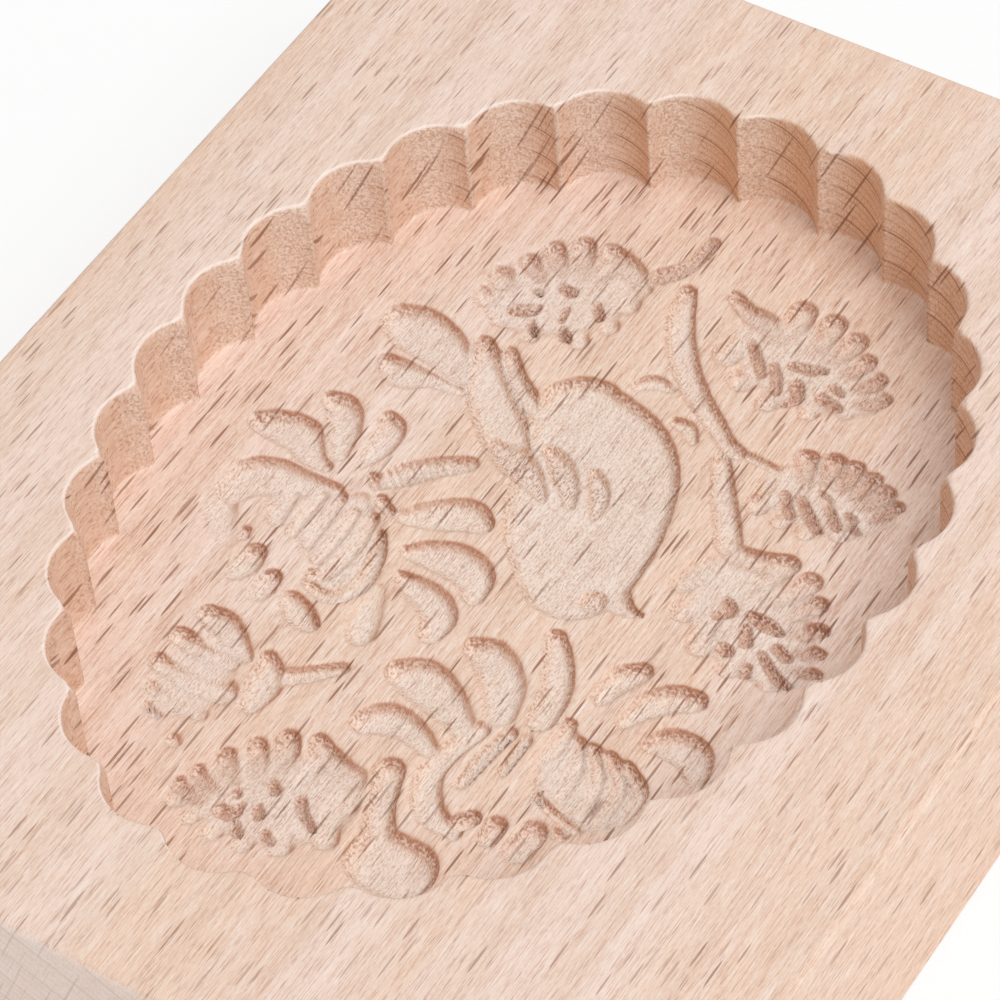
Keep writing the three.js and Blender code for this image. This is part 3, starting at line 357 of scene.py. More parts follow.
NEAR_LEAF = [
    cut(0.8, 0.0, [0.4, -38.0, 3.2], [-3.0, -39.8, 6.0], [-7.4, -41.2, 6.4],
        [-11.2, -43.2, 4.2], [-13.4, -44.6, 2.4]),
    cut(1.5, 0.4, [-5.4, -32.3, 1.2], [-2.6, -33.8, 1.7], [0.4, -34.6, 1.9]),
    cut(1.3, 0.7, [-4.2, -33.8, 1.9], [-4.2, -36.4, 2.2], [-4.8, -38.2, 1.4]),
    cut(1.5, 0.65, [-8.4, -33.7, 1.5], [-7.4, -35.8, 1.8], [-6.8, -37.6, 1.4]),
    cut(1.5, 0.65, [-10.8, -36.1, 1.3], [-9.4, -37.8, 1.7], [-8.4, -39.4, 1.3]),
    cut(1.4, 0.65, [-12.8, -38.8, 1.3], [-11.4, -40.2, 1.6], [-10.2, -41.2, 1.2]),
    cut(1.4, 0.6, [-14.2, -42.0, 1.1], [-12.4, -42.6, 1.4], [-11.2, -42.8, 1.0]),
    cut(1.4, 0.6, [-15.1, -44.3, 1.1], [-13.4, -44.6, 1.4], [-12.0, -44.6, 1.2]),
    cut(1.1, 0.6, [-14.6, -46.2, 1.2], [-13.0, -45.6, 1.2]),
    cut(1.1, 0.6, [-11.8, -47.0, 1.3], [-11.0, -45.6, 1.4]),
    cut(1.1, 0.6, [-8.6, -47.5, 1.4], [-8.2, -46.2, 1.2]),
    cut(1.0, 0.6, [-5.0, -47.2, 1.5], [-5.0, -45.8, 1.3]),
    cut(1.1, 0.6, [-1.5, -45.5, 1.8], [-2.2, -43.4, 1.6], [-2.8, -41.8, 1.0]),
    cut(1.1, 0.6, [2.1, -42.5, 1.8], [1.0, -40.4, 1.9], [0.0, -38.6, 1.4]),
    cut(1.2, 0.6, [1.6, -37.8, 1.6], [2.0, -35.8, 1.7]),
    cut(2.1, 0.0, [-9.8, -44.6, 1.0], [-8.4, -44.4, 1.0], [-8.1, -43.0, 0.5]),
    cut(1.7, 0.0, [-9.5, -41.8, 0.6], [-9.3, -42.0, 0.6]),
    cut(1.9, 0.0, [-6.9, -39.0, 0.6], [-6.0, -39.6, 0.8]),
    cut(1.9, 0.0, [-6.4, -42.4, 0.7], [-5.7, -43.2, 0.7]),
    cut(1.8, 0.0, [-3.0, -39.4, 0.8], [-1.6, -40.8, 0.7], [0.2, -41.9, 0.5]),
    cut(1.8, 0.0, [-4.0, -44.8, 0.6], [-2.8, -45.4, 0.6]),
    cut(1.8, 0.0, [-7.3, -45.4, 0.6], [-6.2, -46.3, 0.6]),
]

# The closed bud at the lower left, with its calyx and stem.
BUD = [
    cut(0.7, 0.0, [-22.0, -26.6, 2.6], [-22.4, -30.0, 4.4], [-21.6, -33.4, 4.2]),
    cut(1.5, 0.4, [-25.6, -23.8, 1.4], [-23.2, -24.3, 2.1], [-20.4, -25.6, 1.5],
        [-18.4, -26.8, 0.8]),
    cut(1.5, 0.3, [-26.6, -27.8, 1.3], [-23.4, -28.2, 1.6], [-19.6, -28.0, 1.2]),
    cut(1.4, 0.2, [-26.4, -31.8, 1.4], [-22.4, -32.2, 1.9], [-18.0, -31.8, 1.9]),
    cut(1.2, 0.4, [-25.2, -35.0, 1.0], [-22.4, -35.6, 1.3], [-18.6, -35.6, 1.2]),
    cut(1.3, 0.2, [-24.2, -37.5, 0.6], [-22.3, -38.0, 0.5]),
    cut(1.0, 0.2, [-19.1, -39.8, 0.9], [-18.7, -39.9, 0.9]),
    cut(1.5, 0.2, [-16.4, -25.8, 1.3], [-15.0, -28.2, 2.4], [-14.6, -31.6, 1.6]),
    cut(1.1, 0.0, [-8.6, -22.8, 0.9], [-10.8, -24.8, 1.2], [-13.0, -26.6, 1.4], ribs=0.25),
]

# The open flower at the lower right: petals, the fluted bulb, its beads, and the stalk
# that ends in a round cup.
OPEN_FLOWER = [
    cut(1.5, 0.4, [19.4, -7.4, 1.4], [18.0, -9.4, 1.9], [17.4, -12.4, 1.4]),
    cut(1.6, 0.4, [26.3, -8.0, 1.6], [24.2, -8.9, 2.1], [22.2, -11.2, 1.9], [21.2, -14.0, 1.1]),
    cut(1.7, 0.2, [31.4, -16.4, 1.5], [29.9, -14.4, 2.4], [27.2, -14.1, 2.3], [25.2, -15.2, 1.2]),
    cut(1.4, 0.1, [9.0, -8.0, 1.3], [11.0, -10.8, 1.9], [12.8, -14.2, 2.0], [13.4, -18.0, 1.9]),
    cut(1.5, 0.4, [2.0, -13.4, 1.5], [4.6, -13.8, 2.6], [7.6, -16.4, 2.7], [9.4, -19.6, 1.9]),
    cut(1.6, 0.4, [-3.0, -20.2, 1.9], [-0.2, -20.0, 3.1], [3.2, -21.2, 2.7], [6.6, -23.0, 1.8]),
    cut(1.5, 0.4, [-2.8, -27.8, 1.7], [-0.8, -26.2, 2.4], [2.2, -26.2, 2.0], [5.6, -27.4, 1.2]),
    cut(1.3, 0.2, [13.4, -35.2, 1.1], [9.6, -34.0, 1.9], [7.2, -30.4, 1.8], [7.4, -26.4, 1.5],
        [8.6, -22.4, 1.3]),
    cut(1.4, 0.2, [10.6, -29.4, 1.0], [10.9, -25.4, 1.1], [11.6, -21.4, 1.0], ribs=0.45),
    cut(1.3, 0.2, [13.6, -26.0, 0.8], [13.5, -21.0, 0.9], ribs=0.45),
    cut(0.8, 0.0, [17.0, -19.0, 1.8], [18.4, -22.4, 3.2], [21.6, -24.0, 3.6], [24.4, -26.0, 2.8]),
    cut(0.8, 0.0, [21.0, -20.0, 2.2], [24.8, -22.0, 3.2], [26.0, -25.0, 2.6]),
    cut(1.3, 0.4, [16.4, -17.2, 0.9], [17.0, -21.0, 1.3], [17.4, -25.0, 1.0]),
    cut(1.5, 0.3, [18.6, -18.6, 0.7], [20.0, -21.6, 1.1], [20.6, -25.6, 1.1]),
    cut(1.6, 0.3, [20.2, -18.6, 0.7], [22.6, -21.6, 1.2], [23.4, -26.6, 1.1]),
    cut(1.7, 0.3, [22.4, -18.6, 0.7], [25.2, -21.4, 1.2], [25.8, -26.4, 1.2]),
    cut(1.7, 0.3, [24.6, -18.8, 0.7], [27.4, -21.2, 1.1], [27.5, -25.0, 1.0]),
    cut(1.5, 0.2, [18.2, -26.8, 0.6], [21.2, -27.8, 0.8], [24.2, -28.4, 0.9]),
    cut(1.8, 0.3, [14.0, -32.8, 1.2], [12.8, -34.2, 1.1]),
    cut(1.5, 0.3, [16.7, -32.4, 1.5], [16.8, -34.0, 1.4]),
    cut(1.6, 0.3, [20.6, -31.2, 1.8], [20.4, -33.8, 2.0]),
    cut(1.4, 0.0, [23.0, -30.0, 0.9], [23.4, -29.6, 0.8]),
    cut(1.8, 0.0, [8.6, -41.8, 4.1], [11.2, -41.8, 4.1]),
    cut(1.6, 0.0, [3.2, -31.8, 1.9], [4.8, -36.0, 1.8], [6.8, -39.4, 2.0]),
]

LEAVES = [*RIGHT_LEAF, *TWIG_LEAF, *FAR_RIGHT_LEAF, *FAR_LEFT_LEAF, *NEAR_LEAF]
MOTIF = [*ROSE, *BIRD, *BRANCH, *LEAVES, *BUD, *OPEN_FLOWER]
print(len(MOTIF), "cuts")

# %% [markdown]
# ## From cuts to hollows
# A hollow could be cut out with Boolean modifiers, but 170 of them leave thin slivers
# that shade badly. Here the floor grid is simply lowered. Along the line of a cut sit
# many round bowls, and the hollow is the deepest of them at every point. Where two cuts
# meet, the deeper one wins, which leaves the same sharp ridges that the gouge leaves.
# Each vertex also notes how much painted shade it gets from the narrow cuts of the leaves.
# The eye is a dimple: its depth times e to the power -(distance / radius)^8, added last.

# %% Depth of the hollows
WALL_RUN, RUN_SHARE, WALL_POWER, DISH = 1.6, 0.7, 1.8, 0.2
RIB_PITCH, LINE_STEP, MARGIN = 0.85, 0.2, 1.5
EYE_CENTRE, EYE_RADIUS, EYE_DEPTH = (9.1, -0.8), 1.5, 0.8
# The next line sets where the narrow, deep cuts of the leaves get painted shade.
FULL_SHADE_HALF, UNSHADED_HALF, MIN_SHADED_DEPTH, FULL_SHADE_DEPTH = 1.2, 2.2, 1.25, 0.8


def gouge_line(stations):
    """A Catmull-Rom curve: on each span, the cubic that passes both stations and whose
    slope at a station is half the step between that station's neighbours."""
    p = np.array(stations, float)
    p = np.vstack([2 * p[0] - p[1], p, 2 * p[-1] - p[-2]])
    spans = len(p) - 3
    rows, shares = [], []
    for i in range(spans):
        a, b, c, d = p[i : i + 4]
        count = max(2, int(np.hypot(*(c - b)[:2]) / LINE_STEP))
        t = np.linspace(0, 1, count, endpoint=i == spans - 1)[:, None]
        rows.append(b + (c - a) * t / 2 + (2 * a - 5 * b + 4 * c - d) * t**2 / 2
                    + (3 * b - 3 * c + d - a) * t**3 / 2)
        shares.append((i + t[:, 0]) / spans)
    return np.vstack(rows), np.concatenate(shares)


def pocket_shade_share(note):
    """How much painted shade a narrow cut gets, from its largest half width: none from the
    wider limit up or where the cut is shallow, and full from the narrower limit down."""
    widest = max(station[2] for station in note["stations"])
    share = (UNSHADED_HALF - widest) / (UNSHADED_HALF - FULL_SHADE_HALF)
    return np.clip(share, 0, 1) * (note["depth"] > MIN_SHADED_DEPTH)


def hollow(points, note):
    """Depth at each point: the largest, over the bowls of the cut, of the bowl's depth
    times 1 - (1 - s) to the power WALL_POWER, with s the distance in from the bowl's rim
    as a share of the wall's run, which is WALL_RUN or RUN_SHARE of the half width. DISH
    of the depth is lost between the middle of a bowl and its rim, and the fade between
    the ends of the line. Ribs ripple it along the line."""
    line, share = gouge_line(note["stations"])
    away = np.hypot(points[:, :1] - line[:, 0], points[:, 1:] - line[:, 1])
    half = line[:, 2]
    wall = np.clip((half - away) / np.minimum(WALL_RUN, RUN_SHARE * half), 0, 1)
    dish = 1 - DISH * np.clip(away / half, 0, 1) ** 2
    depth = note["depth"] * (1 - note["fade"] * share) * (1 - (1 - wall) ** WALL_POWER) * dish
    deepest = depth.max(1)
    if note["ribs"]:
        length = np.insert(np.cumsum(np.hypot(*np.diff(line[:, :2], axis=0).T)), 0, 0)
        nearest = length[away.argmin(1)]
        ripple = 0.5 + 0.5 * np.cos(2 * np.pi * nearest / RIB_PITCH)
        deepest -= note["ribs"] * np.clip(deepest, 0, 1) * ripple
    return deepest


grid_points = floor_xy.reshape(-1, 2)
sunk, pocket_shade = np.zeros((2, len(grid_points)))
for note in MOTIF:
    stations = np.array(note["stations"])
    reach = stations[:, 2].max() + MARGIN
    low, high = stations[:, :2].min(0) - reach, stations[:, :2].max(0) + reach
    near = ((grid_points > low) & (grid_points < high)).all(1)
    made = hollow(grid_points[near], note)
    sunk[near] = np.maximum(sunk[near], made)
    # Narrow, deep cuts of the leaves note a share of painted shade.
    if note in LEAVES:
        pocket_share = pocket_shade_share(note) * np.clip(made / FULL_SHADE_DEPTH, 0, 1)
        pocket_shade[near] = np.maximum(pocket_shade[near], pocket_share)
from_eye = np.hypot(*(grid_points - EYE_CENTRE).T)
sunk += EYE_DEPTH * np.exp(-((from_eye / EYE_RADIUS) ** 8))
print(f"deepest hollow {sunk.max():.2f} mm, {100 * (sunk > 0.1).mean():.0f}% of the grid is cut")

# %% [markdown]
# ## Tool marks
# The steep sides of the hollows are not smooth: the cutter tore short fibres out of
# them. A sculpting brush could do this by hand. Here a smooth random height is added,
# strongest where the surface is steep, and none on the plain floor.

# %% Torn fibres on the slopes
FUZZ_SIZE, FUZZ_HEIGHT, FINER_SHARE = 0.7, 0.13, 0.6
GRID_STEP, FULLY_TORN, BARELY_CUT = 0.3, 2.0, 0.02


def smooth_noise(points, size, seed):
    """A seeded random number sits at each corner of a lattice of the given size in mm,
    and is blended inside each square with 3 t^2 - 2 t^3 both ways. The lattice starts
    100 squares off and repeats after 256."""
    table = np.random.default_rng(seed).uniform(-1, 1, (256, 256))
    place = points / size + 100
    low = np.floor(place).astype(int)
    t = place - low
    t = t * t * (3 - 2 * t)
    x0, y0 = (low % 256).T
    x1, y1 = ((low + 1) % 256).T
    bottom = table[x0, y0] * (1 - t[:, 0]) + table[x1, y0] * t[:, 0]
    top = table[x0, y1] * (1 - t[:, 0]) + table[x1, y1] * t[:, 0]
    return bottom * (1 - t[:, 1]) + top * t[:, 1]


shape = sunk.reshape(floor_xy.shape[:2])
rise_along, rise_across = np.gradient(shape)
steep = np.hypot(rise_along, rise_across).ravel() / GRID_STEP
torn = np.clip(steep / FULLY_TORN, 0, 1) * (sunk > BARELY_CUT)
fuzz = smooth_noise(grid_points, FUZZ_SIZE, seed=3)
fuzz = fuzz + FINER_SHARE * smooth_noise(grid_points, FUZZ_SIZE / 2, seed=4)
sunk = np.maximum(sunk + FUZZ_HEIGHT * torn * fuzz, 0)
print(f"steepest slope {np.degrees(np.arctan(steep.max())):.0f} degrees")

# %% [markdown]
# ## One closed skin
# A solid block with a recess could be modelled from a cube with Boolean cuts. Here the
# floor grid is carried on instead, ring by ring: up the wall, over the eased rim, across
# the top face, round the eased edge, down the sides and under the block. Every ring has
# as many points as the border of the grid, so the skin is closed without a seam.

# %% Rings of the skin
RIM, EDGE, CORNER, HOLD = 0.5, 0.8, 1.5, 0.4
RIDGE_EASE, RIDGE_WIDTH, RIDGE_DROP = 0.75, 0.9, 2.6
SHARPEST = 0.1
border = np.r_[
    np.arange(ACROSS),
    np.arange(ALONG) * (ACROSS + 1) + ACROSS,
    (ALONG + 1) * (ACROSS + 1) - 1 - np.arange(ACROSS),
    (ALONG - np.arange(ALONG)) * (ACROSS + 1),
]
border_u, border_v = square_u.ravel()[border], square_v.ravel()[border]
wall_xy = onto_outline(border_u, border_v)
from_ridge = np.hypot(*(wall_xy[:, None] - flute_points()).transpose(2, 0, 1)).min(1)
ridge = np.exp(-((from_ridge / RIDGE_WIDTH) ** 2))


def wall_ring(margin, z):
    """The fluted outline, grown outwards by the margin, at height z. The ridges are
    rubbed away towards the top, by the square of the height within RIDGE_DROP."""
    wear_and_highlight = np.clip(1 - (HEIGHT - z) / RIDGE_DROP, 0, 1) ** 2
    flat = onto_outline(border_u, border_v, margin + RIDGE_EASE * ridge * wear_and_highlight)
    return np.column_stack([flat, np.full(len(flat), z)])


def block_ring(inset, z):
    """The rectangle of the block drawn in by the inset, its corners rounded: a point
    that lies beyond the corner's centre both ways is put back on the corner's circle."""
    half = np.array([WIDTH, LENGTH]) / 2 - inset
    flat = np.column_stack([border_u, border_v]) * half
    radius = max(CORNER - inset, SHARPEST)
    core = np.clip(flat, radius - half, half - radius)
    out = flat - core
    size = np.maximum(np.hypot(*out.T), 1e-9)[:, None]
    corner = (np.abs(out) > 1e-9).all(1)[:, None]
    flat = np.where(corner, core + out / size * radius, flat)
    return np.column_stack([flat, np.full(len(flat), z)])


fine, coarse = np.linspace(0, np.pi / 2, 4), np.linspace(0, np.pi / 2, 3)
rings = [wall_ring(FOOT * (np.sin(a) - 1), FLOOR + FOOT * (1 - np.cos(a))) for a in coarse[1:]]
rings += [wall_ring(0, FLOOR + FOOT + HOLD)]
rings += [wall_ring(0, HEIGHT - share * RIDGE_DROP) for share in (1, 0.7, 0.4)]
rings += [wall_ring(RIM * (1 - np.cos(a)), HEIGHT - RIM * (1 - np.sin(a))) for a in fine]
recess_rings = len(rings) - 1
rings += [wall_ring(RIM + HOLD, HEIGHT), block_ring(EDGE + HOLD, HEIGHT)]
rings += [block_ring(EDGE * (1 - np.sin(a)), HEIGHT - EDGE * (1 - np.cos(a))) for a in fine]
rings += [block_ring(0, z) for z in (HEIGHT - EDGE - HOLD, EDGE + HOLD)]
rings += [block_ring(EDGE * (1 - np.cos(a)), EDGE * (1 - np.sin(a))) for a in coarse]
rings += [block_ring(EDGE + HOLD, 0)]
print(len(rings), "rings of", len(border), "points")

# %% [markdown]
# ## From rings to a mesh
# Each ring is joined to the next by four-sided faces. Those are cut in two along one
# diagonal when they are drawn. In two quarters of the floor the list of their corners
# starts one corner off, so that these diagonals mirror the ones of the other quarters.
# Each point also stores its depth, its share of painted shade for the leaf pockets and
# whether it is in the recess, for the material to read. A painted image could do that, but
# the block would need unwrapping.

# %% Skin to mesh
floor_points = np.column_stack([grid_points, FLOOR - sunk])
vertices = np.vstack([floor_points, *rings, [[0, 0, 0]]]) * MM
corner_rows = np.arange(ALONG)[:, None] * (ACROSS + 1) + np.arange(ACROSS)
floor_faces = corner_rows.reshape(-1, 1) + [0, 1, ACROSS + 2, ACROSS + 1]
cell_u, cell_v = square_u[:-1, :-1] + square_u[1:, 1:], square_v[:-1, :-1] + square_v[1:, 1:]
mirrored = (cell_u * cell_v < 0).ravel()
floor_faces[mirrored] = np.roll(floor_faces[mirrored], 1, axis=1)
ring_ids = len(floor_points) + np.arange(len(rings) * len(border)).reshape(len(rings), -1)
ids = np.vstack([border, ring_ids])
inner, outer = ids[:-1], ids[1:]
ring_faces = np.stack([inner, outer, np.roll(outer, -1, 1), np.roll(inner, -1, 1)], -1)
ring_faces = ring_faces.reshape(-1, 4)
under = np.column_stack([ids[-1], np.full(len(border), len(vertices) - 1), np.roll(ids[-1], -1)])

mesh = bpy.data.meshes.new("carved_block")
faces = [*floor_faces.tolist(), *ring_faces.tolist(), *under.tolist()]
mesh.from_pydata(vertices.tolist(), [], faces)
mesh.polygons.foreach_set("use_smooth", np.ones(len(mesh.polygons), bool))
beyond_floor = np.zeros(len(vertices) - len(sunk))
in_recess = (np.arange(len(vertices)) <= ids[recess_rings].max()).astype(float)
stored = {
    "hollow_mm": np.r_[sunk, beyond_floor],
    "pocket_shade": np.r_[pocket_shade, beyond_floor],
    "in_recess": in_recess,
}
for name, values in stored.items():
    mesh.attributes.new(name, "FLOAT", "POINT").data.foreach_set("value", values)
block = bpy.data.objects.new("carved_block", mesh)
bpy.context.collection.objects.link(block)
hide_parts("mould_block")
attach(block, "root")
triangles = 2 * len(floor_faces) + 2 * len(ring_faces) + len(under)
print(len(vertices), "points,", triangles, "triangles")

# %% [markdown]
# ## Beech
# The real block is planed and sanded beech without oil or varnish: pale, a little pink,
# and hardly glossy. An image of wood could be wrapped on, but it would smear on the walls
# and break at every edge. The patterns here fill space, so the top, the ends and each cut
# wall show their own section through the same wood, as a real block does.

# %% Colours
def linear(code):
    """sRGB hex to linear: c / 12.92 when c is at most 0.04045, and otherwise
    ((c + 0.055) / 1.055) to the power 2.4."""
    c = np.array([int(code[i : i + 2], 16) for i in (1, 3, 5)]) / 255
    return (*np.where(c <= 0.04045, c / 12.92, ((c + 0.055) / 1.055) ** 2.4), 1.0)


# The second colour on the last line is painted shade for the hollows. The pale fibre colour also
# paints a highlight on the rim, and the end grain and torn cut colours are partly painted shade
# and painted light on the cut walls.
WARM_WOOD, PINK_WOOD, LATE_WOOD = "#EDCEB8", "#EFD5C6", "#E7C9B4"
DARK_FIBRE, PALE_FIBRE_AND_HIGHLIGHT, RAY, RING_LINE = "#C89C80", "#FFF6EF", "#8A5435", "#A46D4C"
SAWN_END, SMOOTH_CUT, END_GRAIN_SHADE, TORN_AND_LIT_CUT = "#F4E6DD", "#FBF2E8", "#F7E9DB", "#FFF0E4"
BRUISED, SHADE_BROWN, BURR = "#F9EBE0", "#D0A994", "#A0775F"
print("sound wood", WARM_WOOD, "to", PINK_WOOD, "rays", RAY)

# %% [markdown]
# ### Small helpers for the nodes
# Every pattern ends as a value between 0 and 1 that mixes two colours. Nodes could be
# placed by hand in the editor. A few short functions do it here, so that a pattern reads
# like a formula and its sizes stand in millimetres.

# %% Node helpers
beech = bpy.data.materials.new("beech_carved")
beech.use_nodes = True
tree = beech.node_tree
tree.nodes.clear()


def add(tree, kind, inputs=(), out=0, **settings):
    """Adds a node, sets its settings, links or fills its inputs, and gives one output."""
    made = tree.nodes.new("ShaderNode" + kind)
    for name, value in settings.items():
        setattr(made, name, value)
    for name, value in dict(inputs).items():
        if isinstance(value, bpy.types.NodeSocket):
            tree.links.new(value, made.inputs[name])
        else:
            made.inputs[name].default_value = value
    return made.outputs[out]


def math(operation, a, b=0.0, c=0.0, clamp=False):
    """One arithmetic step on two or three values."""
    return add(tree, "Math", {0: a, 1: b, 2: c}, operation=operation, use_clamp=clamp)


def times(first, *others):
    """The product of all the values."""
    for other in others:
        first = math("MULTIPLY", first, other)
    return first


def ramp(value, low, high, to_low=0.0, to_high=1.0):
    """A value between low and high, smoothly turned to one between the other two."""
    return add(tree, "MapRange", {"Value": value, "From Min": low, "From Max": high,
               "To Min": to_low, "To Max": to_high}, interpolation_type="SMOOTHSTEP")


def blend(factor, first, second, kind="MIX"):
    """Two colours mixed by a factor, where a hex code stands for its colour."""
    made = tree.nodes.new("ShaderNodeMix")
    made.data_type, made.blend_type = "RGBA", kind
    sockets = made.inputs[0], made.inputs[6], made.inputs[7]
    for socket, value in zip(sockets, (factor, first, second)):
        if isinstance(value, bpy.types.NodeSocket):
            tree.links.new(value, socket)
        else:
            socket.default_value = linear(value) if isinstance(value, str) else value
    return made.outputs[2]


def stain(factor, wood, colour):
    """The wood with a share of it multiplied by the colour, as a stain darkens it."""
    return blend(factor, wood, blend(1.0, wood, colour, "MULTIPLY"))


metres = add(tree, "TexCoord", out="Object")
mm = add(tree, "Mapping", {"Vector": metres, "Scale": (1 / MM, 1 / MM, 1 / MM)})
inside_recess = add(tree, "Attribute", out="Fac", attribute_name="in_recess")
carved = add(tree, "Attribute", out="Fac", attribute_name="hollow_mm")
painted_pocket_shade = add(tree, "Attribute", out="Fac", attribute_name="pocket_shade")


def stretched(place, size, shift=0.0):
    """A place in mm, moved and then divided by the size of a pattern on each axis."""
    return add(tree, "Mapping", {"Vector": place, "Location": (shift, shift, shift),
               "Scale": tuple(1 / s for s in size)})


def noise(size, detail, shift):
    """Cloudy noise between 0 and 1 whose lumps have the given size in mm on each axis."""
    place = stretched(mm, size, shift)
    return add(tree, "TexNoise", {"Vector": place, "Scale": 1.0, "Detail": detail})


print(len(tree.nodes), "nodes to start from")

# %% [markdown]
# ### Growth rings
# A tree adds a ring each year round its pith. This board was sawn far out from the pith,
# which lies deep below it and to the left, so the rings cross its ends as flat, slanting
# arcs and hardly show on its top. One line stands for a ring, 4.1 mm apart, and fainter
# ones divide it in four, since the real block shows both. Real rings are often narrower,
# and are drawn this coarse because finer ones would blur together.

# %% Distance from the pith
PITH, RING_WIDTH, FINE_PARTS = (-180.0, 0.0, -375.0), 4.1, 4
WANDER_SIZE, WANDER, FINE_WANDER = (30, 300, 30), 4.0, 3.0
LATE_PART, LINE_PART = (0.3, 0.85, 0.85, 1.0), (0.9, 0.94, 0.96, 1.0)
FINE_LINE_PART, FAINTER = (0.7, 0.85, 0.85, 1.0), 0.5


def peak(value, start, full, fade, end, height=1.0):
    """Rises from 0 between start and full, and falls from height between fade and end."""
    return times(ramp(value, start, full), ramp(value, fade, end, height, 0.0))


wander = noise(WANDER_SIZE, 1.0, 5.0)
from_pith = add(tree, "VectorMath", {0: mm, 1: PITH}, operation="SUBTRACT")
from_pith = add(tree, "VectorMath", {0: from_pith, 1: (1, 0, 1)}, operation="MULTIPLY")
radius = add(tree, "VectorMath", {0: from_pith}, out="Value", operation="LENGTH")
radius = math("MULTIPLY_ADD", wander, WANDER, radius)
year = math("FRACT", math("DIVIDE", radius, RING_WIDTH))
late = peak(year, *LATE_PART)
line = peak(year, *LINE_PART)
fine_radius = math("MULTIPLY_ADD", wander, FINE_WANDER, radius)
part = math("FRACT", math("DIVIDE", fine_radius, RING_WIDTH / FINE_PARTS))
line = math("MAXIMUM", line, peak(part, *FINE_LINE_PART, FAINTER))
print("rings", RING_WIDTH, "mm, fine lines", round(RING_WIDTH / FINE_PARTS, 2), "mm")

# %% [markdown]
# ### Fibres
# Wood is a bundle of fibres along the grain, here along Y. Each noise is stretched that
# way: fibres 0.12 mm thick and 4 mm long, threads of several fibres, streaks as long as a
# finger, and broad warm and pink bands. Real fibres are thinner still, and are drawn this
# coarse so that they show. Their tone darkens some of the wood and pales some.

# %% Fibres and tone
FIBRE, GRAIN, THREAD = (0.12, 4.0, 0.4), (0.12, 0.6, 0.3), (0.45, 16, 1.5)
STREAK, BAND = (1.6, 60, 4), (11, 300, 50)
PINK_ON, DARK_ON, PALE_ON, THREAD_ON = (0.38, 0.56), (0.46, 0.32), (0.54, 0.68), (0.42, 0.3)
LATE_SHARE, STREAK_SHARE, GRAIN_SHARE, TONE_SHARE = 0.6, 0.5, 0.9, 0.8
DARK_FIBRES, PALE_FIBRES, DARK_THREADS = 0.45, 0.4, 0.08
GAIN_ON_TOP, GAIN_IN_RECESS = 0.85, 1.05
fibre, grain = noise(FIBRE, 1.0, 0.45), noise(GRAIN, 1.0, 17.15)
thread, streak, band = noise(THREAD, 1.0, 43.0), noise(STREAK, 2.0, 11.45), noise(BAND, 2.0, 31.0)
wood = blend(ramp(band, *PINK_ON), WARM_WOOD, PINK_WOOD)
wood = blend(times(late, LATE_SHARE), wood, LATE_WOOD)
gain = ramp(inside_recess, 0.0, 1.0, GAIN_ON_TOP, GAIN_IN_RECESS)
tone = math("MULTIPLY_ADD", grain, GRAIN_SHARE, -(STREAK_SHARE + GRAIN_SHARE) / 2)
tone = math("MULTIPLY_ADD", streak, STREAK_SHARE, tone)
dark_line = ramp(thread, *THREAD_ON, 0.0, DARK_THREADS)
dark_line = math("MULTIPLY_ADD", ramp(fibre, *DARK_ON), DARK_FIBRES, dark_line)
pale_line = ramp(fibre, *PALE_ON, 0.0, PALE_FIBRES)
darker = math("MULTIPLY_ADD", tone, -TONE_SHARE, dark_line)
paler = math("MULTIPLY_ADD", tone, TONE_SHARE, pale_line)
darker = math("MULTIPLY", darker, gain, clamp=True)
paler = math("MULTIPLY", paler, gain, clamp=True)
wood = stain(darker, wood, DARK_FIBRE)
wood = blend(paler, wood, PALE_FIBRE_AND_HIGHLIGHT)
print("fibres", FIBRE[0], "mm thick,", FIBRE[1], "mm long")

# %% [markdown]
# ### Ray flecks
# Beech is known by its rays: thin brown sheets that run from the pith to the bark. The top
# cuts them into dashes about 0.25 mm wide and 3.5 mm long, and the sides show them taller.
# Each dash is the heart of a stretched Voronoi cell, in space turned by the slant of the
# rings. Voronoi scatters them evenly, as rays are, while noise would clump them.

# %% Ray flecks
RAY_TILT = 0.42
LARGE_CELL, SMALL_CELL, SMALL_SHIFT = (0.7, 10.0, 25.0), (0.4, 4.5, 12.0), 9.0
LARGE_HEART, SMALL_HEART, NEARER_IN_RECESS = (0.15, 0.21), (0.12, 0.22), 0.88
LARGE_SHADE, SMALL_SHADE = 0.58, 0.3
turned = add(tree, "VectorRotate", {"Vector": mm, "Angle": -RAY_TILT}, rotation_type="Y_AXIS")


def fleck_cells(size, shift=0.0):
    """The Voronoi node whose cells have about the given size in mm on each axis."""
    return add(tree, "TexVoronoi", {"Vector": stretched(turned, size, shift), "Scale": 1.0}).node


cells = fleck_cells(LARGE_CELL)
strength = add(tree, "SeparateColor", {0: cells.outputs["Color"]})
away = times(cells.outputs["Distance"], ramp(inside_recess, 0.0, 1.0, 1.0, NEARER_IN_RECESS))
fleck = times(ramp(away, *LARGE_HEART, 1.0, 0.0), math("MULTIPLY_ADD", strength, 0.5, 0.5))
small_away = fleck_cells(SMALL_CELL, SMALL_SHIFT).outputs["Distance"]
wood = blend(times(fleck, LARGE_SHADE), wood, RAY)
wood = blend(ramp(small_away, *SMALL_HEART, SMALL_SHADE, 0.0), wood, RAY)
print("ray cells", LARGE_CELL, "and", SMALL_CELL, "mm")
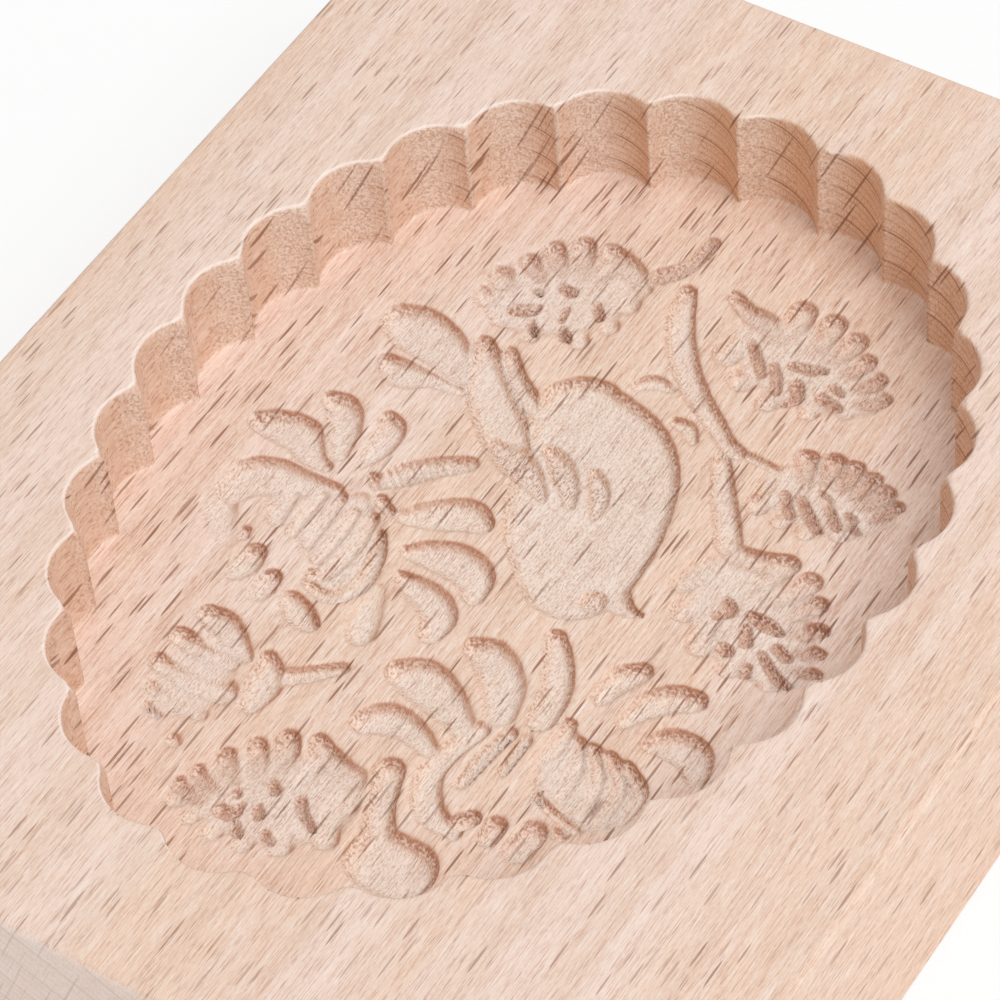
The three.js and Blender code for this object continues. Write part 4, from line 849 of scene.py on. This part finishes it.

# %% [markdown]
# ### Cut walls and sawn ends
# A cutter that meets the grain end on leaves a smooth, browner wall with the ring lines in
# it. Where it runs against the slant of the fibres, it tears them and leaves a speckled
# wall. These torn walls face the lamp, and their paler colour is partly painted light; the
# smooth walls that face away from it get a little painted shade. Two materials could be
# given to different faces, but the change is gradual. The way the surface faces says here
# how each place was cut.

# %% Walls and ends
SPECK, PEBBLE, PATCH = (0.16, 0.5, 0.2), (0.36, 0.36, 0.36), (0.8, 0.8, 0.8)
END_ON, OUTER_END_ON, TORN_ON, AWAY_ON = (0.25, 0.95), (0.5, 0.95), (0.42, 0.85), (0.4, -0.3)
LINES_OUTSIDE, LINES_IN_RECESS, TORN_HIDES, SAWN_SHARE = 0.5, 0.8, 0.75, 0.5
PATCH_SHARE, UPRIGHT = 0.5, (0.9, 0.6)
PALE_SPECK_ON, DARK_SPECK_ON = (0.44, 0.62), (0.5, 0.34)
normal = add(tree, "NewGeometry", out="Normal")
facing_x, facing_y, facing_z = add(tree, "SeparateXYZ", {0: normal}).node.outputs
towards_us = times(facing_y, -1.0)
outer_end = ramp(math("ABSOLUTE", facing_y), *OUTER_END_ON)
outer_end = math("SUBTRACT", outer_end, inside_recess, clamp=True)
end_grain = math("MAXIMUM", ramp(towards_us, *END_ON), outer_end)
on_wall = math("SUBTRACT", 1.0, math("ABSOLUTE", facing_z))

# The torn walls face right and towards us, which is also towards the lamp.
against = times(facing_x, towards_us)
against = math("MULTIPLY_ADD", noise(PATCH, 2.0, 37.2), PATCH_SHARE, against)
torn_lit_wall = times(ramp(against, *TORN_ON), inside_recess)
smooth_wall = times(end_grain, math("MULTIPLY_ADD", torn_lit_wall, -TORN_HIDES, 1.0))
line_seen = ramp(inside_recess, 0.0, 1.0, LINES_OUTSIDE, LINES_IN_RECESS)
line_seen = times(smooth_wall, on_wall, line_seen)
# Painted shade, partly real end grain: smooth walls in the recess that face away from the lamp get
# a darker stain.
shaded_end_wall = times(smooth_wall, ramp(facing_x, *AWAY_ON), inside_recess)
wood = blend(times(line, line_seen), wood, RING_LINE)
wood = stain(times(on_wall, inside_recess), wood, SMOOTH_CUT)
wood = stain(shaded_end_wall, wood, END_GRAIN_SHADE)
wood = blend(times(outer_end, SAWN_SHARE), wood, SAWN_END)

fine_speck, pebble = noise(SPECK, 2.0, 23.3), noise(PEBBLE, 2.0, 27.7)
upright = ramp(facing_z, *UPRIGHT)
speckle = math("MULTIPLY_ADD", math("SUBTRACT", pebble, fine_speck), upright, fine_speck)
pale_speck, dark_speck = ramp(speckle, *PALE_SPECK_ON), ramp(speckle, *DARK_SPECK_ON)
print("specks", SPECK[0], "mm on floors,", PEBBLE[0], "mm on walls")

# %% [markdown]
# ### The hollows
# In the hollows the cutter rubbed as much as it cut, so their bottoms are bruised pale and
# speckled. Their sides that face towards us and away from the lamp, their deepest spots
# and the narrow pockets of the leaves are given painted shade in brown. All this could be
# painted by hand. The depth and the share of pocket shade were kept on each vertex when
# the floor was carved, so the material can read them instead. The pairs below say where
# an effect starts and is full, by depth in mm or by the way the surface faces, and the
# single numbers say how strong it is.

# %% Hollows
LEVEL, BEGUN, FULL_CUT, DEEP = (0.62, 0.98), (0.03, 0.25), (0.2, 0.9), (1.95, 2.3)
SHADED_SIDE_ON, RIGHT_PART, NEAR_EDGE = (0.08, -0.32), 0.45, (0.3, 1.6, 1.0, 0.4)
DEEP_SHADE, TIGHT_SHADE, TIGHT_HIDES, TIGHT_BURRS = 0.25, 0.5, 0.7, 0.7
BRUISE, BRUISE_SPECKS, SLOPE_SPECKS, TORN_LIGHT, TORN_SPECKS = 0.33, 0.4, 0.7, 0.2, 0.55
FLOOR_BURRS, DEEP_BURRS, SLOPE_BURRS, TORN_BURRS = 0.25, 0.7, 0.55, 0.32
FIBRES_LEFT, FLECKS_LEFT = 0.6, 0.6
level = ramp(facing_z, *LEVEL)
bottom = times(ramp(carved, *FULL_CUT), level)
sloping = times(ramp(carved, *BEGUN), math("SUBTRACT", 1.0, level))
# Painted shade: slopes that face towards us and away from the lamp are stained brown, most near
# the rim.
painted_side_shade = ramp(math("MULTIPLY_ADD", facing_x, RIGHT_PART, facing_y), *SHADED_SIDE_ON)
wood = stain(times(sloping, painted_side_shade, ramp(carved, *NEAR_EDGE)), wood, SHADE_BROWN)
# Painted shade too: the deepest spots and the narrow leaf pockets are stained brown.
painted_pit_shade = times(ramp(carved, *DEEP), DEEP_SHADE)
wood = stain(math("MAXIMUM", painted_pit_shade, times(painted_pocket_shade, TIGHT_SHADE)), wood, SHADE_BROWN)

pale = times(bottom, math("MULTIPLY_ADD", pale_speck, BRUISE_SPECKS, BRUISE))
# The painted shade of the narrow pockets also takes most of the pale bruise out of them.
pale = times(pale, math("MULTIPLY_ADD", painted_pocket_shade, -TIGHT_HIDES, 1.0))
pale_slope = times(sloping, ramp(carved, *FULL_CUT, 0.0, SLOPE_SPECKS), pale_speck)
# Painted light, partly real: the torn walls, which face the lamp, are paled, with specks of torn
# fibre.
torn_pale_and_light = times(torn_lit_wall, math("MULTIPLY_ADD", pale_speck, TORN_SPECKS, TORN_LIGHT))
wood = blend(torn_pale_and_light, wood, TORN_AND_LIT_CUT)
wood = blend(math("MAXIMUM", pale, pale_slope), wood, BRUISED)

dark = times(bottom, ramp(carved, *DEEP, FLOOR_BURRS, DEEP_BURRS))
dark = math("MULTIPLY_ADD", sloping, SLOPE_BURRS, dark)
# The narrow pockets get dark specks too, as part of their painted shade.
dark = math("MAXIMUM", dark, times(painted_pocket_shade, TIGHT_BURRS))
dark = times(dark_speck, math("MULTIPLY_ADD", torn_lit_wall, TORN_BURRS, dark))
wood = blend(dark, wood, BURR)
wood = stain(times(bottom, dark_line, FIBRES_LEFT), wood, DARK_FIBRE)
wood = blend(times(fleck, inside_recess, FLECKS_LEFT), wood, RAY)
print(len(tree.nodes), "nodes so far")

# %% [markdown]
# ### Painted rim highlight, relief and shader
# The rim of the recess gets a painted highlight, mostly on the left, where the rim faces
# right, towards the lamp. The open fibres and torn specks also stand up a few hundredths
# of a millimetre.
# That is too fine for the mesh, so a Bump node gives it. Bare wood reflects weakly and
# widely, which a roughness of 0.62 gives, and its refraction stays at the default.

# %% Rim, relief and shader
HIGHLIGHT_BAND, HIGHLIGHT_SHARE = (0.4, 0.15), 0.55
TILTED, FACING_RIGHT = (0.99, 0.9), (0.05, 0.35)
FLECK_DIP, SPECK_HEIGHT, ROUGH_CUT, RELIEF = -0.5, 4.0, (0.05, 0.6), 0.04 * MM
ROUGHNESS = 0.62
up_mm = add(tree, "SeparateXYZ", {0: mm}, out="Z")
# Painted highlight: the top of the rim where it faces right, towards the lamp, is paled.
wear_and_highlight = ramp(up_mm, *(HEIGHT - drop for drop in HIGHLIGHT_BAND))
wear_and_highlight = times(wear_and_highlight, inside_recess, HIGHLIGHT_SHARE)
wear_and_highlight = times(wear_and_highlight, ramp(facing_z, *TILTED), ramp(facing_x, *FACING_RIGHT))
wood = blend(wear_and_highlight, wood, PALE_FIBRE_AND_HIGHLIGHT)

height = math("MULTIPLY_ADD", fleck, FLECK_DIP, fibre)
rough = math("MAXIMUM", torn_lit_wall, ramp(carved, *ROUGH_CUT))
height = math("MULTIPLY_ADD", times(speckle, rough), SPECK_HEIGHT, height)
bump = add(tree, "Bump", {"Height": height, "Distance": RELIEF, "Strength": 1.0})
surface = add(tree, "BsdfPrincipled", {"Base Color": wood, "Roughness": ROUGHNESS, "Normal": bump})
beech_out = tree.nodes.new("ShaderNodeOutputMaterial")
tree.links.new(surface, beech_out.inputs["Surface"])
mesh.materials.append(beech)
print(len(tree.nodes), "nodes in the beech")

# %% [markdown]
# ## Table
# The mould lies on a white table. More light would make the table white too, but would
# bleach the pale wood. It glows to the camera alone instead, and still carries a shadow.

# %% Table
TABLE, TABLE_GLOW = 2.0, 0.7
table_mesh = bpy.data.meshes.new("table")
table_corners = [(-TABLE, -TABLE, 0), (TABLE, -TABLE, 0), (TABLE, TABLE, 0), (-TABLE, TABLE, 0)]
table_mesh.from_pydata(table_corners, [], [(0, 1, 2, 3)])
table = bpy.data.objects.new("table", table_mesh)
bpy.context.collection.objects.link(table)
paper = bpy.data.materials.new("white_paper")
paper.use_nodes = True
sheet = paper.node_tree
sheet.nodes.clear()
seen = add(sheet, "LightPath", out="Is Camera Ray")
white = add(sheet, "BsdfDiffuse", {"Color": linear("#FAFAFA")})
glow = add(sheet, "Emission", {"Color": (1, 1, 1, 1), "Strength": 1.0})
share = add(sheet, "Math", {0: seen, 1: TABLE_GLOW}, operation="MULTIPLY")
paper_mix = add(sheet, "MixShader", {0: share, 1: white, 2: glow})
paper_out = sheet.nodes.new("ShaderNodeOutputMaterial")
sheet.links.new(paper_mix, paper_out.inputs["Surface"])
table_mesh.materials.append(paper)
print("table", 2 * TABLE, "m wide")

# %% [markdown]
# ## Light
# One large soft lamp hangs high over the right side of the block, so the side of each
# hollow that is nearest the lamp lies in shade. A white sky fills the rest, as a light
# tent does. An image of a room could light it too, but plain white stays neutral.

# %% Sky and lamp
SKY, LAMP_WATTS, LAMP_SIZE, LAMP_PLACE = 0.61, 11.7, 1.0, (0.74, -0.06, 1.32)
world = bpy.data.worlds.new("light_tent")
bpy.context.scene.world = world
world.use_nodes = True
world.node_tree.nodes["Background"].inputs["Color"].default_value = (1, 1, 1, 1)
world.node_tree.nodes["Background"].inputs["Strength"].default_value = SKY
lamp = bpy.data.objects.new("softbox", bpy.data.lights.new("softbox", "AREA"))
lamp.data.energy = LAMP_WATTS
lamp.data.size = LAMP_SIZE
lamp.location = LAMP_PLACE
lamp.rotation_euler = (-lamp.location).to_track_quat("-Z", "Y").to_euler()
bpy.context.collection.objects.link(lamp)
bpy.context.scene.view_settings.view_transform = "Standard"
print("sky", SKY, "lamp", LAMP_WATTS, "W")
